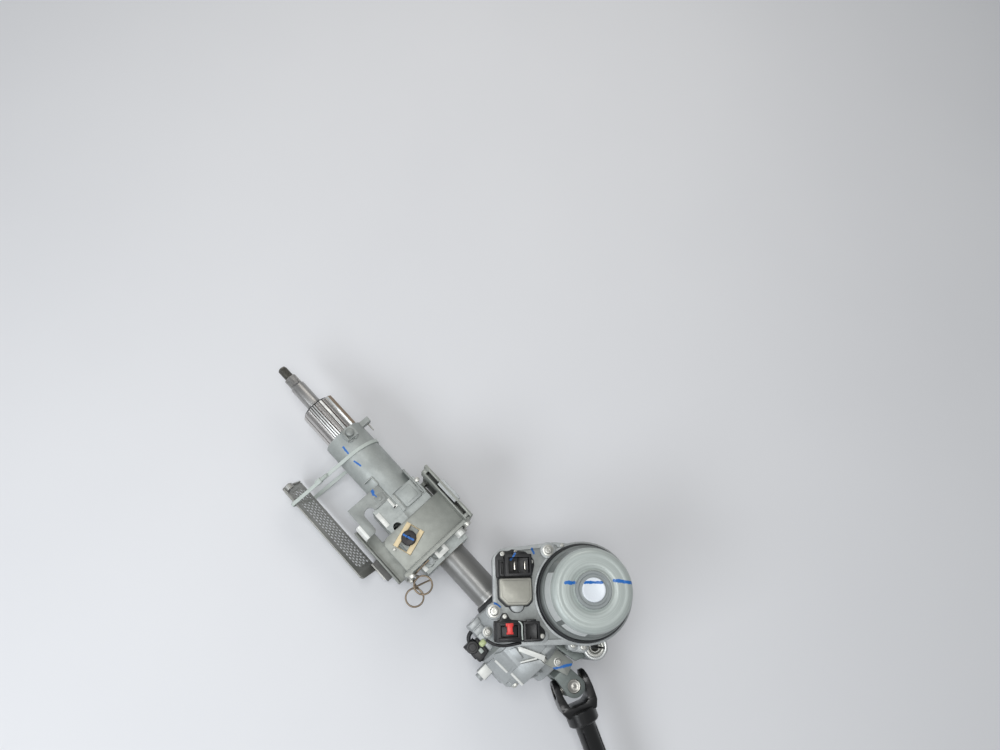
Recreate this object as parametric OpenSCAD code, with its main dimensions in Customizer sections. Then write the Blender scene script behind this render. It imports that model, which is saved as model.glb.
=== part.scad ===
// Power-assisted steering column, lying on its side as it rests on a bench.
// X runs down the column from the steering wheel's seat, Y points to the motor's side and Z is up.

/* [Steering shaft] */
// Diameter of the thread for the wheel nut
thread_d = 12; // [10:0.5:16]
// Length of that thread
thread_len = 17; // [12:0.5:24]
// Tip diameter of the wheel serration
serration_d = 16; // [14:0.5:18]
// Length of the wheel serration
serration_len = 14.5; // [10:0.5:20]
// Diameter of the upper steering shaft
shaft_d = 19; // [17:0.5:22]
// Bare length of shaft between the serration and the nose tube
shaft_show = 40.5; // [30:0.5:60]

/* [Column tubes] */
// Outer diameter of the ribbed nose tube
nose_d = 44; // [40:0.5:47]
// Length of nose tube that shows
nose_show = 51; // [40:1:70]
// Outer diameter of the cast jacket
jacket_d = 53; // [50:0.5:58]
// Length of the round part of the jacket
jacket_round = 101; // [90:1:130]
// Length of the jacket's clamp block
block_len = 101; // [95:1:120]
// Outer diameter of the lower steel tube
tube_d = 37; // [33:0.5:40]
// Wall of the lower steel tube
tube_wall = 2.5; // [1.5:0.25:3.5]
// Length of lower tube between the clamp block and the sensor housing
tube_show = 75; // [60:1:100]
// How far the jacket slides each way
telescope = 20; // [10:1:25]

/* [Main bracket] */
// Thickness of the bracket's steel sheet
sheet = 3; // [2:0.25:4]
// Clear width between the two cheeks
cheek_gap = 56; // [54:0.5:62]
// Length of the cheeks along the column
cheek_len = 53; // [50:1:65]
// Reach of the lower cheek below the column's axis
cheek_drop = 60; // [56:1:68]
// Width of the mounting flange across the column
flange_w = 104; // [96:1:116]
// Distance between the two mounting holes
mount_pitch = 84; // [78:1:90]
// Diameter of the mounting holes
mount_hole_d = 9; // [8:0.5:10]

/* [Clamp] */
// Diameter of the clamp bolt
clamp_d = 10; // [8:0.5:12]
// Distance from the column's axis to the clamp bolt
clamp_drop = 27.5; // [26:0.5:29]
// Length of the perforated lever panel
panel_len = 153; // [120:1:170]
// Width of the perforated lever panel
panel_w = 43; // [36:1:46]

/* [Gear] */
// Teeth of the worm wheel
wheel_teeth = 42; // [38:1:43]
// Axial pitch of the worm's threads
worm_pitch = 8; // [7.6:0.1:8.4]
// Pitch radius of the worm
worm_pitch_r = 21; // [19:0.5:22]
// Face width of the worm wheel
wheel_face = 16; // [12:1:18]

/* [Motor] */
// Diameter of the motor can
motor_d = 92; // [84:1:98]
// Height of the motor can
motor_h = 50; // [44:1:70]
// Turn of the control unit about the motor
unit_turn = 48; // [40:1:56]

/* [Intermediate shaft] */
// Distance between the centres of the two universal joints
joint_span = 290; // [260:5:340]
// Outer diameter of the sliding tube
slide_d = 25; // [22:0.5:27]
// Swing of the shaft seen from above
swing = -22; // [-24:1:-10]
// Gap between the ears of a yoke
ear_gap = 30; // [28:0.5:34]
// Thickness of a yoke's ear
ear_t = 6; // [5:0.5:7]

/* [Hidden] */
$fn = 64;
overrun = 1;
seam_turn = -40;
fit = 0.05;
gap = 0.3;

// Steering shaft
chamfer = 1.5;
serration_teeth = 36;
serration_depth = 0.7;
spline_teeth = 12;
spline_tip_r = 8;
spline_root_r = 7;
spline_neck_r = 8.5;
sleeve_wall = 3.5;
shaft_r = shaft_d / 2;
nose_x = serration_len + shaft_show;
sleeve_x = nose_x + nose_show + jacket_round / 4;
sleeve_len = 100;
lower_shaft_x = sleeve_x + sleeve_len / 2;
spline_end = sleeve_x + sleeve_len + telescope + 2 * chamfer;

// Nose tube and jacket
nose_wall = 3;
nose_depth = 35;
nose_r = nose_d / 2;
nose_rib_count = 5;
nose_rib_step = 13;
nose_rib_w = 2.4;
nose_rib_h = 0.8;
nose_rib_middle = 98;
bearing_w = 14;
bearing_in = 6;
jacket_x = nose_x + nose_show;
jacket_r = jacket_d / 2;
block_x = jacket_x + jacket_round;
block_end = block_x + block_len;
block_half = 24;
block_top = 27;
block_bottom = 38;
block_neck = 20;
end_hole_in = 9.1;
land_w = 27;
land_clear = 0.3;
tube_r = tube_d / 2;
bush_wall = 2;
bush_len = 45;
slit_w = 7;
slot_r = clamp_d / 2 + gap;
clamp_in = 54;
clamp_x = block_x + clamp_in;
clamp_y = -clamp_drop;
rib_t = 4;
rib_h = 3;
window_w = 14;
window_l = 20;

// Lock boss, lug and stop plate
boss_x = jacket_x + overrun;
boss_w = 17;
boss_l = 15;
boss_h = 4;
boss_turn = 80;
lug_l = 7;
lug_w = 11;
lug_reach = 12;
lug_z = 3;
bolt_head_r = 5.5;
bolt_head_h = 5;
bolt_shank_r = 3;
bolt_depth = 7;
stop_back = 21;
stop_x = block_x - stop_back;
stop_l = 44;
stop_top = -12;
stop_bottom = -64;
stop_t = 2.5;
stop_slot_r = 7;
stop_slot_x = 22;
stop_slot_y = -39;
stop_lip = 12;
stop_pad = 6;

// Cable tie
tie_in = 31;
tie_x = jacket_x + tie_in;
tie_w = 4.6;
tie_t = 1.3;
tie_turn = -6;
tie_head_share = 0.6;
tie_head = 8;
tie_tail = 14;

// Main bracket
cheek_in = cheek_gap / 2;
cheek_back = 30;
cheek_x = block_x + cheek_back;
cheek_end = cheek_x + cheek_len;
cheek_top = 42;
cheek_round = 14;
cheek_toe = 32;
cheek_low_extra = 6;
bush_l = 32;
bush_w = 24;
bush_frame = 1;
bush_bar = 6;
slot_room = 10;
end_t = 4;
end_half = 38;
end_window_clear = 1.5;
flange_front = 26;
flange_x = cheek_x - flange_front;
flange_end = cheek_end + end_t;
flange_y = cheek_top;
flange_slot_w = 20;
flange_slot_l = 30;
flange_slot_in = 42;
flange_slot_x = flange_x + flange_slot_in;
capsule_lip = 5;
capsule_t = 3;
capsule_clear = 0.3;

// Balance spring
wire_r = 1.1;
coil_r = 11;
coil_turns = 2;
coil_pitch = 3;
coil_off = 18;
coil_x = flange_end + coil_off;
coil_y = -50;
coil_z = 12;
coil_step = 24;
coil_start = 180;
low_coil_start = 170;
low_coil_off = 3;
low_coil_drop = 16;
low_coil_x = coil_x + low_coil_off;
low_coil_y = coil_y - low_coil_drop;
low_coil_z = -14;
wire_sides = 8;

// Clamp stack, from the upper cheek down to the nut
clamp_r = clamp_d / 2;
bush_head = 4;
head_r = 9;
head_h = 5;
head_z = cheek_in + sheet + bush_head + fit;
cam_r = 14;
cam_t = 6;
cam_rest = cheek_in + sheet + gap;
cam_lug_r = 2;
cam_mid = cam_rest + cam_t;
cam_gap = 2;
cam_lug_h = cam_gap / 2 - fit;
rotor_cam_t = 7;
arm_t = 4;
arm_z = cam_mid + cam_gap + rotor_cam_t;
washer_t = 2;
washer_r = 11.2;
nut_af = 17;
nut_h = 8;
arm_w = 30;
arm_end_r = 15;
floor_z = arm_z + arm_t + washer_t + nut_h;

// Lever panel
panel_t = 1.6;
panel_low_y = -76;
panel_lean = 58;
panel_rise = 4;
panel_behind = 7;
panel_low_z = floor_z - panel_rise;
panel_x = clamp_x - panel_behind;
panel_edge = 4;
hole_af = 4.6;
hole_web = 1.2;
panel_hook = 9;
panel_drop = 12;

// Gear set
wheel_pitch_r = wheel_teeth * worm_pitch / (2 * PI);
worm_starts = 2;
worm_lead = worm_pitch * worm_starts;
tooth_up = 2;
tooth_down = 2.5;
tooth_t = 2.4;
thread_up = 1.8;
thread_down = 2.5;
thread_tip_t = 2;
thread_root_t = 3.4;
worm_len = 44;
worm_slices = 44;
worm_sides = 14;
worm_shaft_r = 8;
lead_angle = atan(worm_lead / (2 * PI * worm_pitch_r));
motor_y = wheel_pitch_r + worm_pitch_r;
hub_r = 30;
hub_w = 12;

// Housings
sensor_x = block_end + tube_show;
sensor_len = 46;
sensor_r = 36;
sensor_wall = 4;
drum_wall = 3;
drum_clear = 1.5;
drum_r = wheel_pitch_r + tooth_up + drum_clear + drum_wall;
drum_side = 5;
gear_x = sensor_x + sensor_len + drum_side + wheel_face / 2 + drum_side;
drum_x = gear_x - wheel_face / 2 - drum_side * 2;
drum_end = gear_x + wheel_face / 2 + drum_side;
cover_t = 6;
tower_r = 29;
tower_wall = 6;
tower_bore = worm_pitch_r + thread_up + drum_clear;
plug_share = 0.7;
tower_low = floor_z;
unit_z = drum_r + overrun;
output_boss_r = 25;
output_boss_len = 22;
foot_r = 12;
output_bore = 17.5;
output_x = drum_end + cover_t + output_boss_len;
seal_len = 5;
tube_in = 18;
pivot_reach = 56;
pivot_x = gear_x + pivot_reach;
pivot_y = 47;
pivot_half = 36;
pivot_r = 15;
pivot_bush_r = 11;
pivot_hole_r = 5.1;
arm_thick = 12;
stub_r = 9;
stub_len = 14;
plate_t = 3;
plug_w = 22;
plug_l = 18;
plug_h = 20;
plug_in = 19;
plug_x = sensor_x + plug_in;
plug_y = -sensor_r - 2 * sensor_wall;
lead_r = 2.6;
lead_bend = 10;
screw_head_r = 6;
screw_head_h = 5;
screw_r = 3;

// Shafts inside the housings
torsion_r = 4.5;
output_r = 11;
input_r = 10;
rotor_ring_r = 19;
rotor_ring_w = 14;
coil_ring_r = 25;
coil_ring_w = 18;
bearing_t = 10;
ball_pitch_share = 2.6;

// Motor and control unit
base_t = 8;
motor_r = motor_d / 2;
can_step = 6;
can_low_r = motor_r + can_step;
can_low_h = 24;
can_wall = 3;
can_round = 6;
cap_r = 14;
boss_ring_r = 21;
boss_rise = 3;
seal_r = can_low_r + can_wall;
seal_h = 6;
stator_wall = 11;
rotor_gap = 0.8;
motor_base_z = unit_z + base_t;
socket_wall = 3;
socket_h = 13;
lid_room = 6;
lid_y = -12;
lid_w = 37;
lid_l = 30;
lid_h = 7;
lid_wall = 2;
lid_x = -seal_r - lid_room - lid_w;
power_room = 4;
power_y = 20;
power_w = 38;
power_l = 23;
power_x = -seal_r - power_room - power_w;
signal_y = -53;
signal_w = 50;
signal_l = 27;
signal_split = 30;
signal_x = -seal_r + overrun - signal_w;
base_ring_r = seal_r + socket_wall;
unit_top = 52;
unit_low_step = -10;
unit_cut = 10;
unit_peak_in = 25;
unit_lift = 6;
unit_left = signal_x - overrun;
unit_bottom = signal_y - socket_wall;
unit_peak = -seal_r + unit_peak_in;
board_t = 1.6;
board_w = 24;
board_l = 16;

// Universal joints
joint_clear = 24;
joint_x = output_x + ear_t + joint_clear;
cup_r = 8;
journal_r = 5;
ear_r = 13;
ear_share = 0.8;
ear_half = ear_r * ear_share;
ear_reach = 22;
hub_len = 16;
pitch_room = 4.5;
slide_spline_depth = 1;
pitch = asin((floor_z - ear_gap / 2 - ear_t - pitch_room) / joint_span);
slide_r = slide_d / 2;
slide_wall = 3;
slide_tube_len = 150;
spline_r = slide_r - slide_wall;
pinch_len = 34;
pinch_r = 14;
pinch_bore = 8.5;
pinch_slit = 4;
pinch_hole_r = 4.2;
pinch_ear = 10;

// Round solid along X from x
module rod_x(x, len, r) {
    translate([x, 0, 0]) rotate([0, 90, 0]) cylinder(h = len, r = r);
}

// The same with its seam turned to the free side
module drum_rod(x, len, r) {
    rotate([seam_turn, 0, 0]) rod_x(x, len, r);
}

// Round tube along X from x
module tube_x(x, len, r, bore) {
    difference() {
        rod_x(x, len, r);
        rod_x(x - overrun, len + 2 * overrun, bore);
    }
}

// Round solid along Z
module rod_z(x, y, z, len, r) {
    translate([x, y, z]) cylinder(h = len, r = r);
}

// Round tube along Z
module tube_z(x, y, z, len, r, bore) {
    difference() {
        rod_z(x, y, z, len, r);
        rod_z(x, y, z - overrun, len + 2 * overrun, bore);
    }
}

// A flat shape drawn as (Y, Z) and drawn out along X
module in_yz(x, len) {
    translate([x, 0, 0]) rotate([90, 0, 90]) linear_extrude(len) children();
}

// A flat shape drawn as (X, Z) and drawn out along Y
module in_xz(y, len) {
    translate([0, y + len, 0]) rotate([90, 0, 0]) linear_extrude(len) children();
}

// A flat shape drawn as (X, Y) and drawn out along Z
module in_xy(z, len) {
    translate([0, 0, z]) linear_extrude(len) children();
}

// A rectangle with round corners, from its lowest corner
module round_plate(w, l, r) {
    translate([r, 0]) square([w - 2 * r, l]);
    translate([0, r]) square([w, l - 2 * r]);
    for (x = [r, w - r], y = [r, l - r]) translate([x, y]) circle(r);
}

// A slot along X, centred
module long_slot(len, r) {
    square([len - 2 * r, 2 * r], center = true);
    for (side = [-1, 1]) translate([side * (len / 2 - r), 0]) circle(r);
}

// Points of a toothed outline with straight flanks
function spline_outline(n, root, tip) = [
    for (i = [0:n - 1], k = [0:3])
        let (a = 360 / n * (i + [0.02, 0.3, 0.5, 0.78][k]), r = k < 2 ? tip : root)
        [r * cos(a), r * sin(a)]
];

module spline_rod(x, len, root, tip) {
    in_yz(x, len) polygon(spline_outline(spline_teeth, root, tip));
}

// Two rings and a ring of balls about the X axis
module ball_bearing(bore, outer, w) {
    ball = (outer - bore) / 4;
    middle = (outer + bore) / 2;
    track = ball / 3;
    difference() {
        tube_x(0, w, middle - track, bore);
        translate([w / 2, 0, 0]) rotate([0, 90, 0])
            rotate_extrude() translate([middle, 0]) circle(ball + fit);
    }
    difference() {
        tube_x(0, w, outer, middle + track);
        translate([w / 2, 0, 0]) rotate([0, 90, 0])
            rotate_extrude() translate([middle, 0]) circle(ball + fit);
    }
    balls = floor(360 / (ball_pitch_share * asin(ball / middle)));
    for (i = [0:balls - 1]) rotate([360 / balls * i, 0, 0])
        translate([w / 2, middle, 0]) sphere(ball);
}

// Body of the shaft that the steering wheel is bolted to
module upper_shaft() color("silver") {
    difference() {
        union() {
            rod_x(-thread_len + chamfer, thread_len - chamfer, thread_d / 2);
            translate([-thread_len, 0, 0]) rotate([0, 90, 0])
                cylinder(h = chamfer, r1 = thread_d / 2 - chamfer, r2 = thread_d / 2);
            in_yz(0, serration_len)
                polygon(spline_outline(serration_teeth, serration_d / 2 - serration_depth, serration_d / 2));
            rod_x(serration_len, sleeve_x - serration_len, shaft_r);
            rod_x(sleeve_x, sleeve_len, spline_tip_r + sleeve_wall);
        }
        spline_rod(sleeve_x + chamfer, sleeve_len, spline_root_r + 2 * fit, spline_tip_r + 2 * fit);
    }
}

module nose_tube() color("gainsboro") {
    tube_x(nose_x, nose_show + nose_depth, nose_r, nose_r - nose_wall);
    for (i = [0:nose_rib_count - 1])
        rotate([nose_rib_middle + nose_rib_step * (i - (nose_rib_count - 1) / 2), 0, 0])
            translate([nose_x + gap, nose_r - nose_wall / 2, -nose_rib_w / 2])
                cube([nose_show - 2 * gap, nose_wall / 2 + nose_rib_h, nose_rib_w]);
}

module upper_bearing() color("lightgray") translate([nose_x + bearing_in, 0, 0])
    ball_bearing(shaft_r + fit, nose_r - nose_wall - fit, bearing_w);

// Ring that keeps the upper bearing in the nose
module nose_ring() color("dimgray")
    tube_x(nose_x + bearing_in / 3, bearing_in * 2 / 3 - fit, nose_r - nose_wall - fit, shaft_r + gap);

// The cast jacket: a round sleeve in front and a split clamp block behind
module jacket() color("lightgray") {
    difference() {
        union() {
            rod_x(jacket_x, jacket_round, jacket_r);
            in_yz(block_x, block_len) block_outline();
            // lands that the cheeks press on
            translate([cheek_x - rib_t, -block_bottom, -cheek_in + land_clear])
                cube([block_end - cheek_x + rib_t, land_w, cheek_gap - 2 * land_clear]);
            // pad under the lock bolt
            rotate([boss_turn, 0, 0]) translate([boss_x, jacket_r - boss_h, -boss_w / 2])
                cube([boss_l, 2 * boss_h, boss_w]);
            // lug on the motor's side
            translate([boss_x, jacket_r - lug_reach / 3, lug_z - lug_w / 2])
                cube([lug_l, lug_reach * 4 / 3, lug_w]);
            // seat of the stop plate
            translate([stop_x, stop_top - jacket_r / 2 + stop_pad / 2, 0])
                cube([stop_l, jacket_r / 2, block_half]);
            // ribs on top of the block
            for (y = [-block_neck / 2, block_top - rib_t])
                translate([block_x, y, block_half - overrun])
                    cube([cheek_x - block_x - telescope / 4, rib_t, rib_h + overrun]);
        }
        rod_x(jacket_x - overrun, nose_depth + overrun, nose_r + fit);
        rod_x(jacket_x, block_end - jacket_x + overrun, tube_r + bush_wall);
        // clamping slit towards the clamp bolt
        translate([block_x - slit_w, -block_bottom - overrun, -slit_w / 2])
            cube([block_len + slit_w + overrun, block_bottom + overrun, slit_w]);
        // long holes that the clamp bolt runs in
        translate([clamp_x, clamp_y, -cheek_in]) linear_extrude(cheek_gap)
            long_slot(2 * (telescope + slot_r), slot_r);
        // window and pocket in the block's upper face
        translate([block_x + rib_t, block_top - rib_t - window_w - rib_t, block_half - rib_h])
            cube([window_l, window_w, rib_h + overrun]);
        rotate([boss_turn, 0, 0]) translate([boss_x + boss_l / 2, jacket_r - bolt_depth + boss_h, 0])
            rotate([-90, 0, 0]) cylinder(h = 2 * bolt_depth, r = bolt_shank_r + fit);
        // end of the block: a notch and a round hole
        translate([block_end - block_neck / 2, -block_neck / 2, block_half - rib_h])
            cube([block_neck / 2 + overrun, block_neck / 3, rib_h + overrun]);
        rod_z(block_end - end_hole_in, clamp_y, cheek_in - land_clear - rib_h, rib_h + overrun, bolt_head_r);
    }
}

module block_outline() {
    translate([-block_bottom, -block_half]) square([block_bottom + block_top, 2 * block_half]);
}

module telescope_bush() color("ivory")
    tube_x(block_end - bush_len, bush_len, tube_r + bush_wall, tube_r + fit);

module lock_bolt() color("silver") rotate([boss_turn, 0, 0])
    translate([boss_x + boss_l / 2, jacket_r + boss_h, 0]) rotate([-90, 0, 0]) {
        cylinder(h = bolt_head_h, r = bolt_head_r);
        translate([0, 0, -bolt_depth]) cylinder(h = bolt_depth, r = bolt_shank_r);
    }

// Flat plate beside the jacket with a hooked slot
module stop_plate() color("lightgray") {
    in_xy(block_half, stop_t) difference() {
        translate([stop_x, stop_bottom]) round_plate(stop_l, stop_top - stop_bottom, stop_pad / 2);
        translate([stop_x + stop_slot_x, stop_slot_y]) circle(stop_slot_r);
        translate([stop_x + stop_slot_x, stop_slot_y - stop_slot_r])
            square([stop_l, 2 * stop_slot_r]);
    }
    // lip folded down at the outer edge
    translate([stop_x + stop_l - stop_lip, stop_bottom, block_half - stop_lip])
        cube([stop_lip, stop_t, stop_lip + stop_t / 2]);
}

// Centres that the tie is drawn tight over: the jacket, and the panel's high and low edges
function panel_edge_at(along, out) = [
    panel_low_y - along * cos(panel_lean) - out * sin(panel_lean),
    -panel_low_z + along * sin(panel_lean) - out * cos(panel_lean)
];

module tie_loop(extra) {
    hull() {
        circle(jacket_r + 2 * gap + extra, $fn = 32);
        translate(panel_edge_at(panel_w, panel_t / 2)) circle(2 * panel_t + extra, $fn = 24);
        translate(panel_edge_at(0, panel_t / 2)) circle(2 * panel_t + extra, $fn = 24);
    }
}

module cable_tie() color("whitesmoke") translate([tie_x, 0, 0]) rotate([0, 0, tie_turn]) {
    in_yz(-tie_w / 2, tie_w) difference() {
        tie_loop(tie_t);
        tie_loop(0);
    }
    high = panel_edge_at(panel_w, panel_t / 2);
    lift = atan2(jacket_r - high[1], -high[0]);
    head_up = high[1] * tie_head_share + (jacket_r + tie_t) * (1 - tie_head_share) + tie_head / 2;
    translate([0, high[0] * tie_head_share, head_up])
        rotate([lift, 0, 0]) {
            translate([-tie_w / 2 - tie_t, -tie_head / 2, 0])
                cube([tie_w + 2 * tie_t, tie_head, tie_head * 2 / 3]);
            translate([-tie_w / 2, 0, tie_head / 3]) cube([tie_w, tie_tail, tie_t]);
        }
}

// The tilt window follows the turn about the lower pivot
slot_lean = -atan2(pivot_y - clamp_y, pivot_x - clamp_x);

module tilt_window(w, l) {
    translate([clamp_x, clamp_y]) rotate(-slot_lean) square([w, l], center = true);
}

module cheek(drop) {
    translate([cheek_x, -drop + cheek_round]) square([cheek_len, cheek_top + drop - cheek_round]);
    translate([cheek_x + cheek_round, -drop]) square([cheek_len - cheek_round, 2 * cheek_round]);
    translate([cheek_x + cheek_round, -drop + cheek_round]) circle(cheek_round);
}

// Both cheeks of the main bracket, each with its tilt slot
module cheek_bracket() color("darkgray") {
    in_xy(cheek_in, sheet) difference() {
        cheek(cheek_drop);
        tilt_window(bush_w + 2 * fit, bush_l + 2 * fit);
    }
    in_xy(-cheek_in - sheet, sheet) difference() {
        union() {
            cheek(cheek_drop + cheek_low_extra);
            translate([cheek_x - cheek_toe, -cheek_drop - cheek_low_extra])
                square([cheek_toe + cheek_round, cheek_toe / 2]);
        }
        tilt_window(bush_w - 2 * bush_bar, bush_l - 2 * bush_frame);
    }
    // lip along the lower cheek's outer edge
    translate([cheek_x - cheek_toe, -cheek_drop - cheek_low_extra - sheet, -cheek_in - sheet])
        cube([cheek_len + cheek_toe, sheet, sheet * 3]);
}

module mounting_flange() color("darkgray") in_xz(flange_y, sheet) difference() {
    translate([flange_x, -flange_w / 2]) round_plate(flange_end - flange_x, flange_w, sheet);
    for (side = [-1, 1])
        translate([flange_slot_x, side * mount_pitch / 2])
            square([flange_slot_l, flange_slot_w - 2 * capsule_t], center = true);
    translate([flange_x + capsule_lip * 2, -cheek_in / 3]) square([flange_slot_l, cheek_in * 2 / 3]);
}

// Plate across the bracket's lower end, with a window for the clamp block
module end_plate() color("darkgray") in_yz(cheek_end, end_t) difference() {
    translate([-cheek_drop, -end_half]) square([cheek_drop + cheek_top, 2 * end_half]);
    translate([-block_bottom - slot_room, -cheek_in - end_window_clear])
        square([block_bottom + block_top + 2 * slot_room, cheek_gap + 2 * end_window_clear]);
}

// Cast capsules that slide out of the flange in a crash
module release_capsules() color("gainsboro") for (side = [-1, 1])
    difference() {
        translate([flange_slot_x, 0, side * mount_pitch / 2]) {
            for (y = [flange_y - capsule_t - fit, flange_y + sheet + fit])
                translate([-flange_slot_l / 2, y, -flange_slot_w / 2])
                    cube([flange_slot_l, capsule_t, flange_slot_w]);
            tongue = flange_slot_w - 2 * capsule_t - 2 * capsule_clear;
            translate([-flange_slot_l / 2 + capsule_clear, flange_y - capsule_t / 2, -tongue / 2])
                cube([flange_slot_l - 2 * capsule_clear, sheet + capsule_t, tongue]);
        }
        translate([flange_slot_x, flange_y - 2 * capsule_t, side * mount_pitch / 2]) rotate([-90, 0, 0])
            cylinder(h = sheet + 4 * capsule_t, r = mount_hole_d / 2);
    }

// One wire with two loose coils, hooked over the bracket at both ends
function coil(x, y, z, steps, first) = [
    for (t = [0:steps])
        let (a = first + coil_step * t)
        [x + coil_r * cos(a), y + coil_r * sin(a), z - coil_pitch * coil_step * t / 360]
];
coil_steps = coil_turns * 360 / coil_step;
hook_x = cheek_end + end_t + 2 * wire_r;
spring_path = concat(
    [[hook_x, clamp_y, end_half - wire_r], [hook_x, clamp_y - coil_r, end_half - wire_r]],
    [[hook_x + wire_r, coil_y, coil_z + coil_r], [coil_x - coil_r, coil_y + coil_r / 2, coil_z + wire_r]],
    coil(coil_x, coil_y, coil_z, coil_steps - 4, coil_start),
    coil(low_coil_x, low_coil_y, low_coil_z, coil_steps - 4, low_coil_start),
    [[hook_x + wire_r, low_coil_y + coil_r, low_coil_z - coil_r], [hook_x, coil_y, -end_half + wire_r]]
);

function unit(v) = v / norm(v);
function tangent(path, i) = unit(path[min(i + 1, len(path) - 1)] - path[max(i - 1, 0)]);
function ring_about(p, dir, r, up) =
    let (a = unit(cross(dir, up)), b = cross(a, dir))
    [for (k = [0:wire_sides - 1]) p + r * (cos(360 / wire_sides * k) * a + sin(360 / wire_sides * k) * b)];

// A round wire swept along a path
module sweep(path, r, up) {
    n = len(path);
    points = [for (i = [0:n - 1]) each ring_about(path[i], tangent(path, i), r, up)];
    sides = [
        for (i = [0:n - 2], k = [0:wire_sides - 1])
            let (j = (k + 1) % wire_sides)
            [i * wire_sides + k, i * wire_sides + j, (i + 1) * wire_sides + j, (i + 1) * wire_sides + k]
    ];
    start = [[for (k = [wire_sides - 1:-1:0]) k]];
    finish = [[for (k = [0:wire_sides - 1]) (n - 1) * wire_sides + k]];
    polyhedron(points, concat(start, sides, finish), convexity = 6);
}

module balance_spring() color("dimgray") sweep(spring_path, wire_r, [0.1, 0.2, 1]);

// The clamp, from its head above the upper cheek to its nut below
module clamp_bolt() color("dimgray") {
    rod_z(clamp_x, clamp_y, head_z, head_h, head_r);
    rod_z(clamp_x, clamp_y, -floor_z + chamfer, floor_z - chamfer + head_z, clamp_r);
}

// Plastic liner of the upper tilt window, with two raised bars
module tilt_bush() color("burlywood") {
    in_xy(cheek_in + gap, sheet - gap) difference() {
        tilt_window(bush_w, bush_l);
        tilt_window(bush_w - 2 * bush_bar, bush_l - 2 * bush_frame);
    }
    in_xy(cheek_in + gap, sheet - gap + bush_head) difference() {
        tilt_window(bush_w, bush_l);
        tilt_window(bush_w - 2 * bush_bar, bush_l + overrun);
    }
}

// Cam that the lever presses against the lower cheek
module pressure_cam() color("silver") difference() {
    union() {
        rod_z(clamp_x, clamp_y, -cam_mid, cam_t, cam_r);
        for (a = [0:90:270]) translate([clamp_x, clamp_y, -cam_mid]) rotate([0, 0, a])
            translate([cam_r * 2 / 3, 0, -cam_lug_h]) cylinder(h = 2 * cam_lug_h, r = cam_lug_r);
    }
    rod_z(clamp_x, clamp_y, -cam_mid - cam_gap, cam_t + 2 * cam_gap, clamp_r + fit);
}

module rotating_cam() color("gray") difference() {
    union() {
        rod_z(clamp_x, clamp_y, -arm_z, rotor_cam_t, cam_r);
        for (a = [0:90:270]) translate([clamp_x, clamp_y, -arm_z + rotor_cam_t]) rotate([0, 0, a + 40])
            translate([cam_r * 2 / 3, 0, 0]) cylinder(h = cam_lug_h, r = cam_lug_r);
    }
    rod_z(clamp_x, clamp_y, -arm_z - overrun, rotor_cam_t + cam_gap + 2 * overrun, clamp_r + fit);
}

module lever_arm() color("darkgray") difference() {
    in_xy(-arm_z - arm_t, arm_t) {
        translate([clamp_x, clamp_y]) circle(arm_end_r);
        translate([clamp_x - arm_w / 2, panel_low_y]) square([arm_w, clamp_y - panel_low_y]);
    }
    rod_z(clamp_x, clamp_y, -arm_z - arm_t - overrun, arm_t + 2 * overrun, clamp_r + fit);
}

module thrust_washer() color("gainsboro")
    tube_z(clamp_x, clamp_y, -arm_z - arm_t - washer_t, washer_t - fit, washer_r, clamp_r + fit);

module clamp_nut() color("gold") difference() {
    translate([clamp_x, clamp_y, -arm_z - arm_t - washer_t - nut_h])
        cylinder(h = nut_h, r = nut_af / sqrt(3), $fn = 6);
    rod_z(clamp_x, clamp_y, -arm_z - arm_t - washer_t - nut_h - overrun, nut_h + 2 * overrun, clamp_r);
}

// The lever's broad panel of hexagonal holes, leaning out from the arm
module lever_panel() color("lightgray") {
    rows = floor((panel_w - 2 * panel_edge) / ((hole_af + hole_web) * sqrt(3) / 2));
    step = hole_af + hole_web;
    columns = floor((panel_len - 3 * panel_edge - panel_drop) / step);
    translate([panel_x, panel_low_y, -panel_low_z]) rotate([0, 0, 180]) rotate([panel_lean, 0, 0])
        union() {
            linear_extrude(panel_t) difference() {
                round_plate(panel_len, panel_w, panel_edge);
                for (i = [0:columns - 1], j = [0:rows - 1])
                    translate([
                        panel_drop + panel_edge + step * (i + (j % 2) / 2),
                        panel_edge + hole_af / 2 + step * sqrt(3) / 2 * j
                    ]) rotate(30) circle(hole_af / sqrt(3), $fn = 6);
            }
            // stiffening hem at the free end
            translate([panel_len - panel_t, panel_edge, 0])
                cube([panel_t, panel_w - 2 * panel_edge, panel_hook / 2]);
            translate([panel_len - panel_t, panel_w - 2 * panel_edge, 0])
                cube([panel_t, panel_edge, panel_hook]);
        }
    // web from the arm up to the panel
    translate([clamp_x - arm_w / 2, panel_low_y - arm_t / 2, -arm_z - arm_t - gap])
        cube([arm_w - panel_edge, arm_t / 2 - fit, arm_t + gap]);
}

module lower_tube() color("gray")
    tube_x(
        block_end - bush_len - telescope, bush_len + telescope + tube_show + tube_in,
        tube_r, tube_r - tube_wall
    );

module tube_seal() color("black")
    tube_x(sensor_x - seal_len, seal_len - fit, tube_r + sensor_wall, tube_r + fit);

// Casting round the torque sensor
module sensor_housing() color("silver") difference() {
    union() {
        rod_x(sensor_x, sensor_len, sensor_r);
        rod_x(drum_x - drum_side, drum_side, drum_r - drum_wall);
        // square shoulder on the free side, which holds the plug
        translate([sensor_x, -sensor_r - sensor_wall * 2, -sensor_r / 2])
            cube([sensor_len - drum_side, sensor_r, sensor_r]);
    }
    rod_x(sensor_x - overrun, tube_in + overrun, tube_r + fit);
    rod_x(sensor_x + tube_in - overrun, bearing_t + 2 * overrun, tube_r - fit);
    rod_x(sensor_x + tube_in + bearing_t, sensor_len, sensor_r - sensor_wall * 2);
    rod_z(gear_x, motor_y, -tower_low - overrun, tower_low + unit_z + overrun, tower_r + fit);
}

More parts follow.
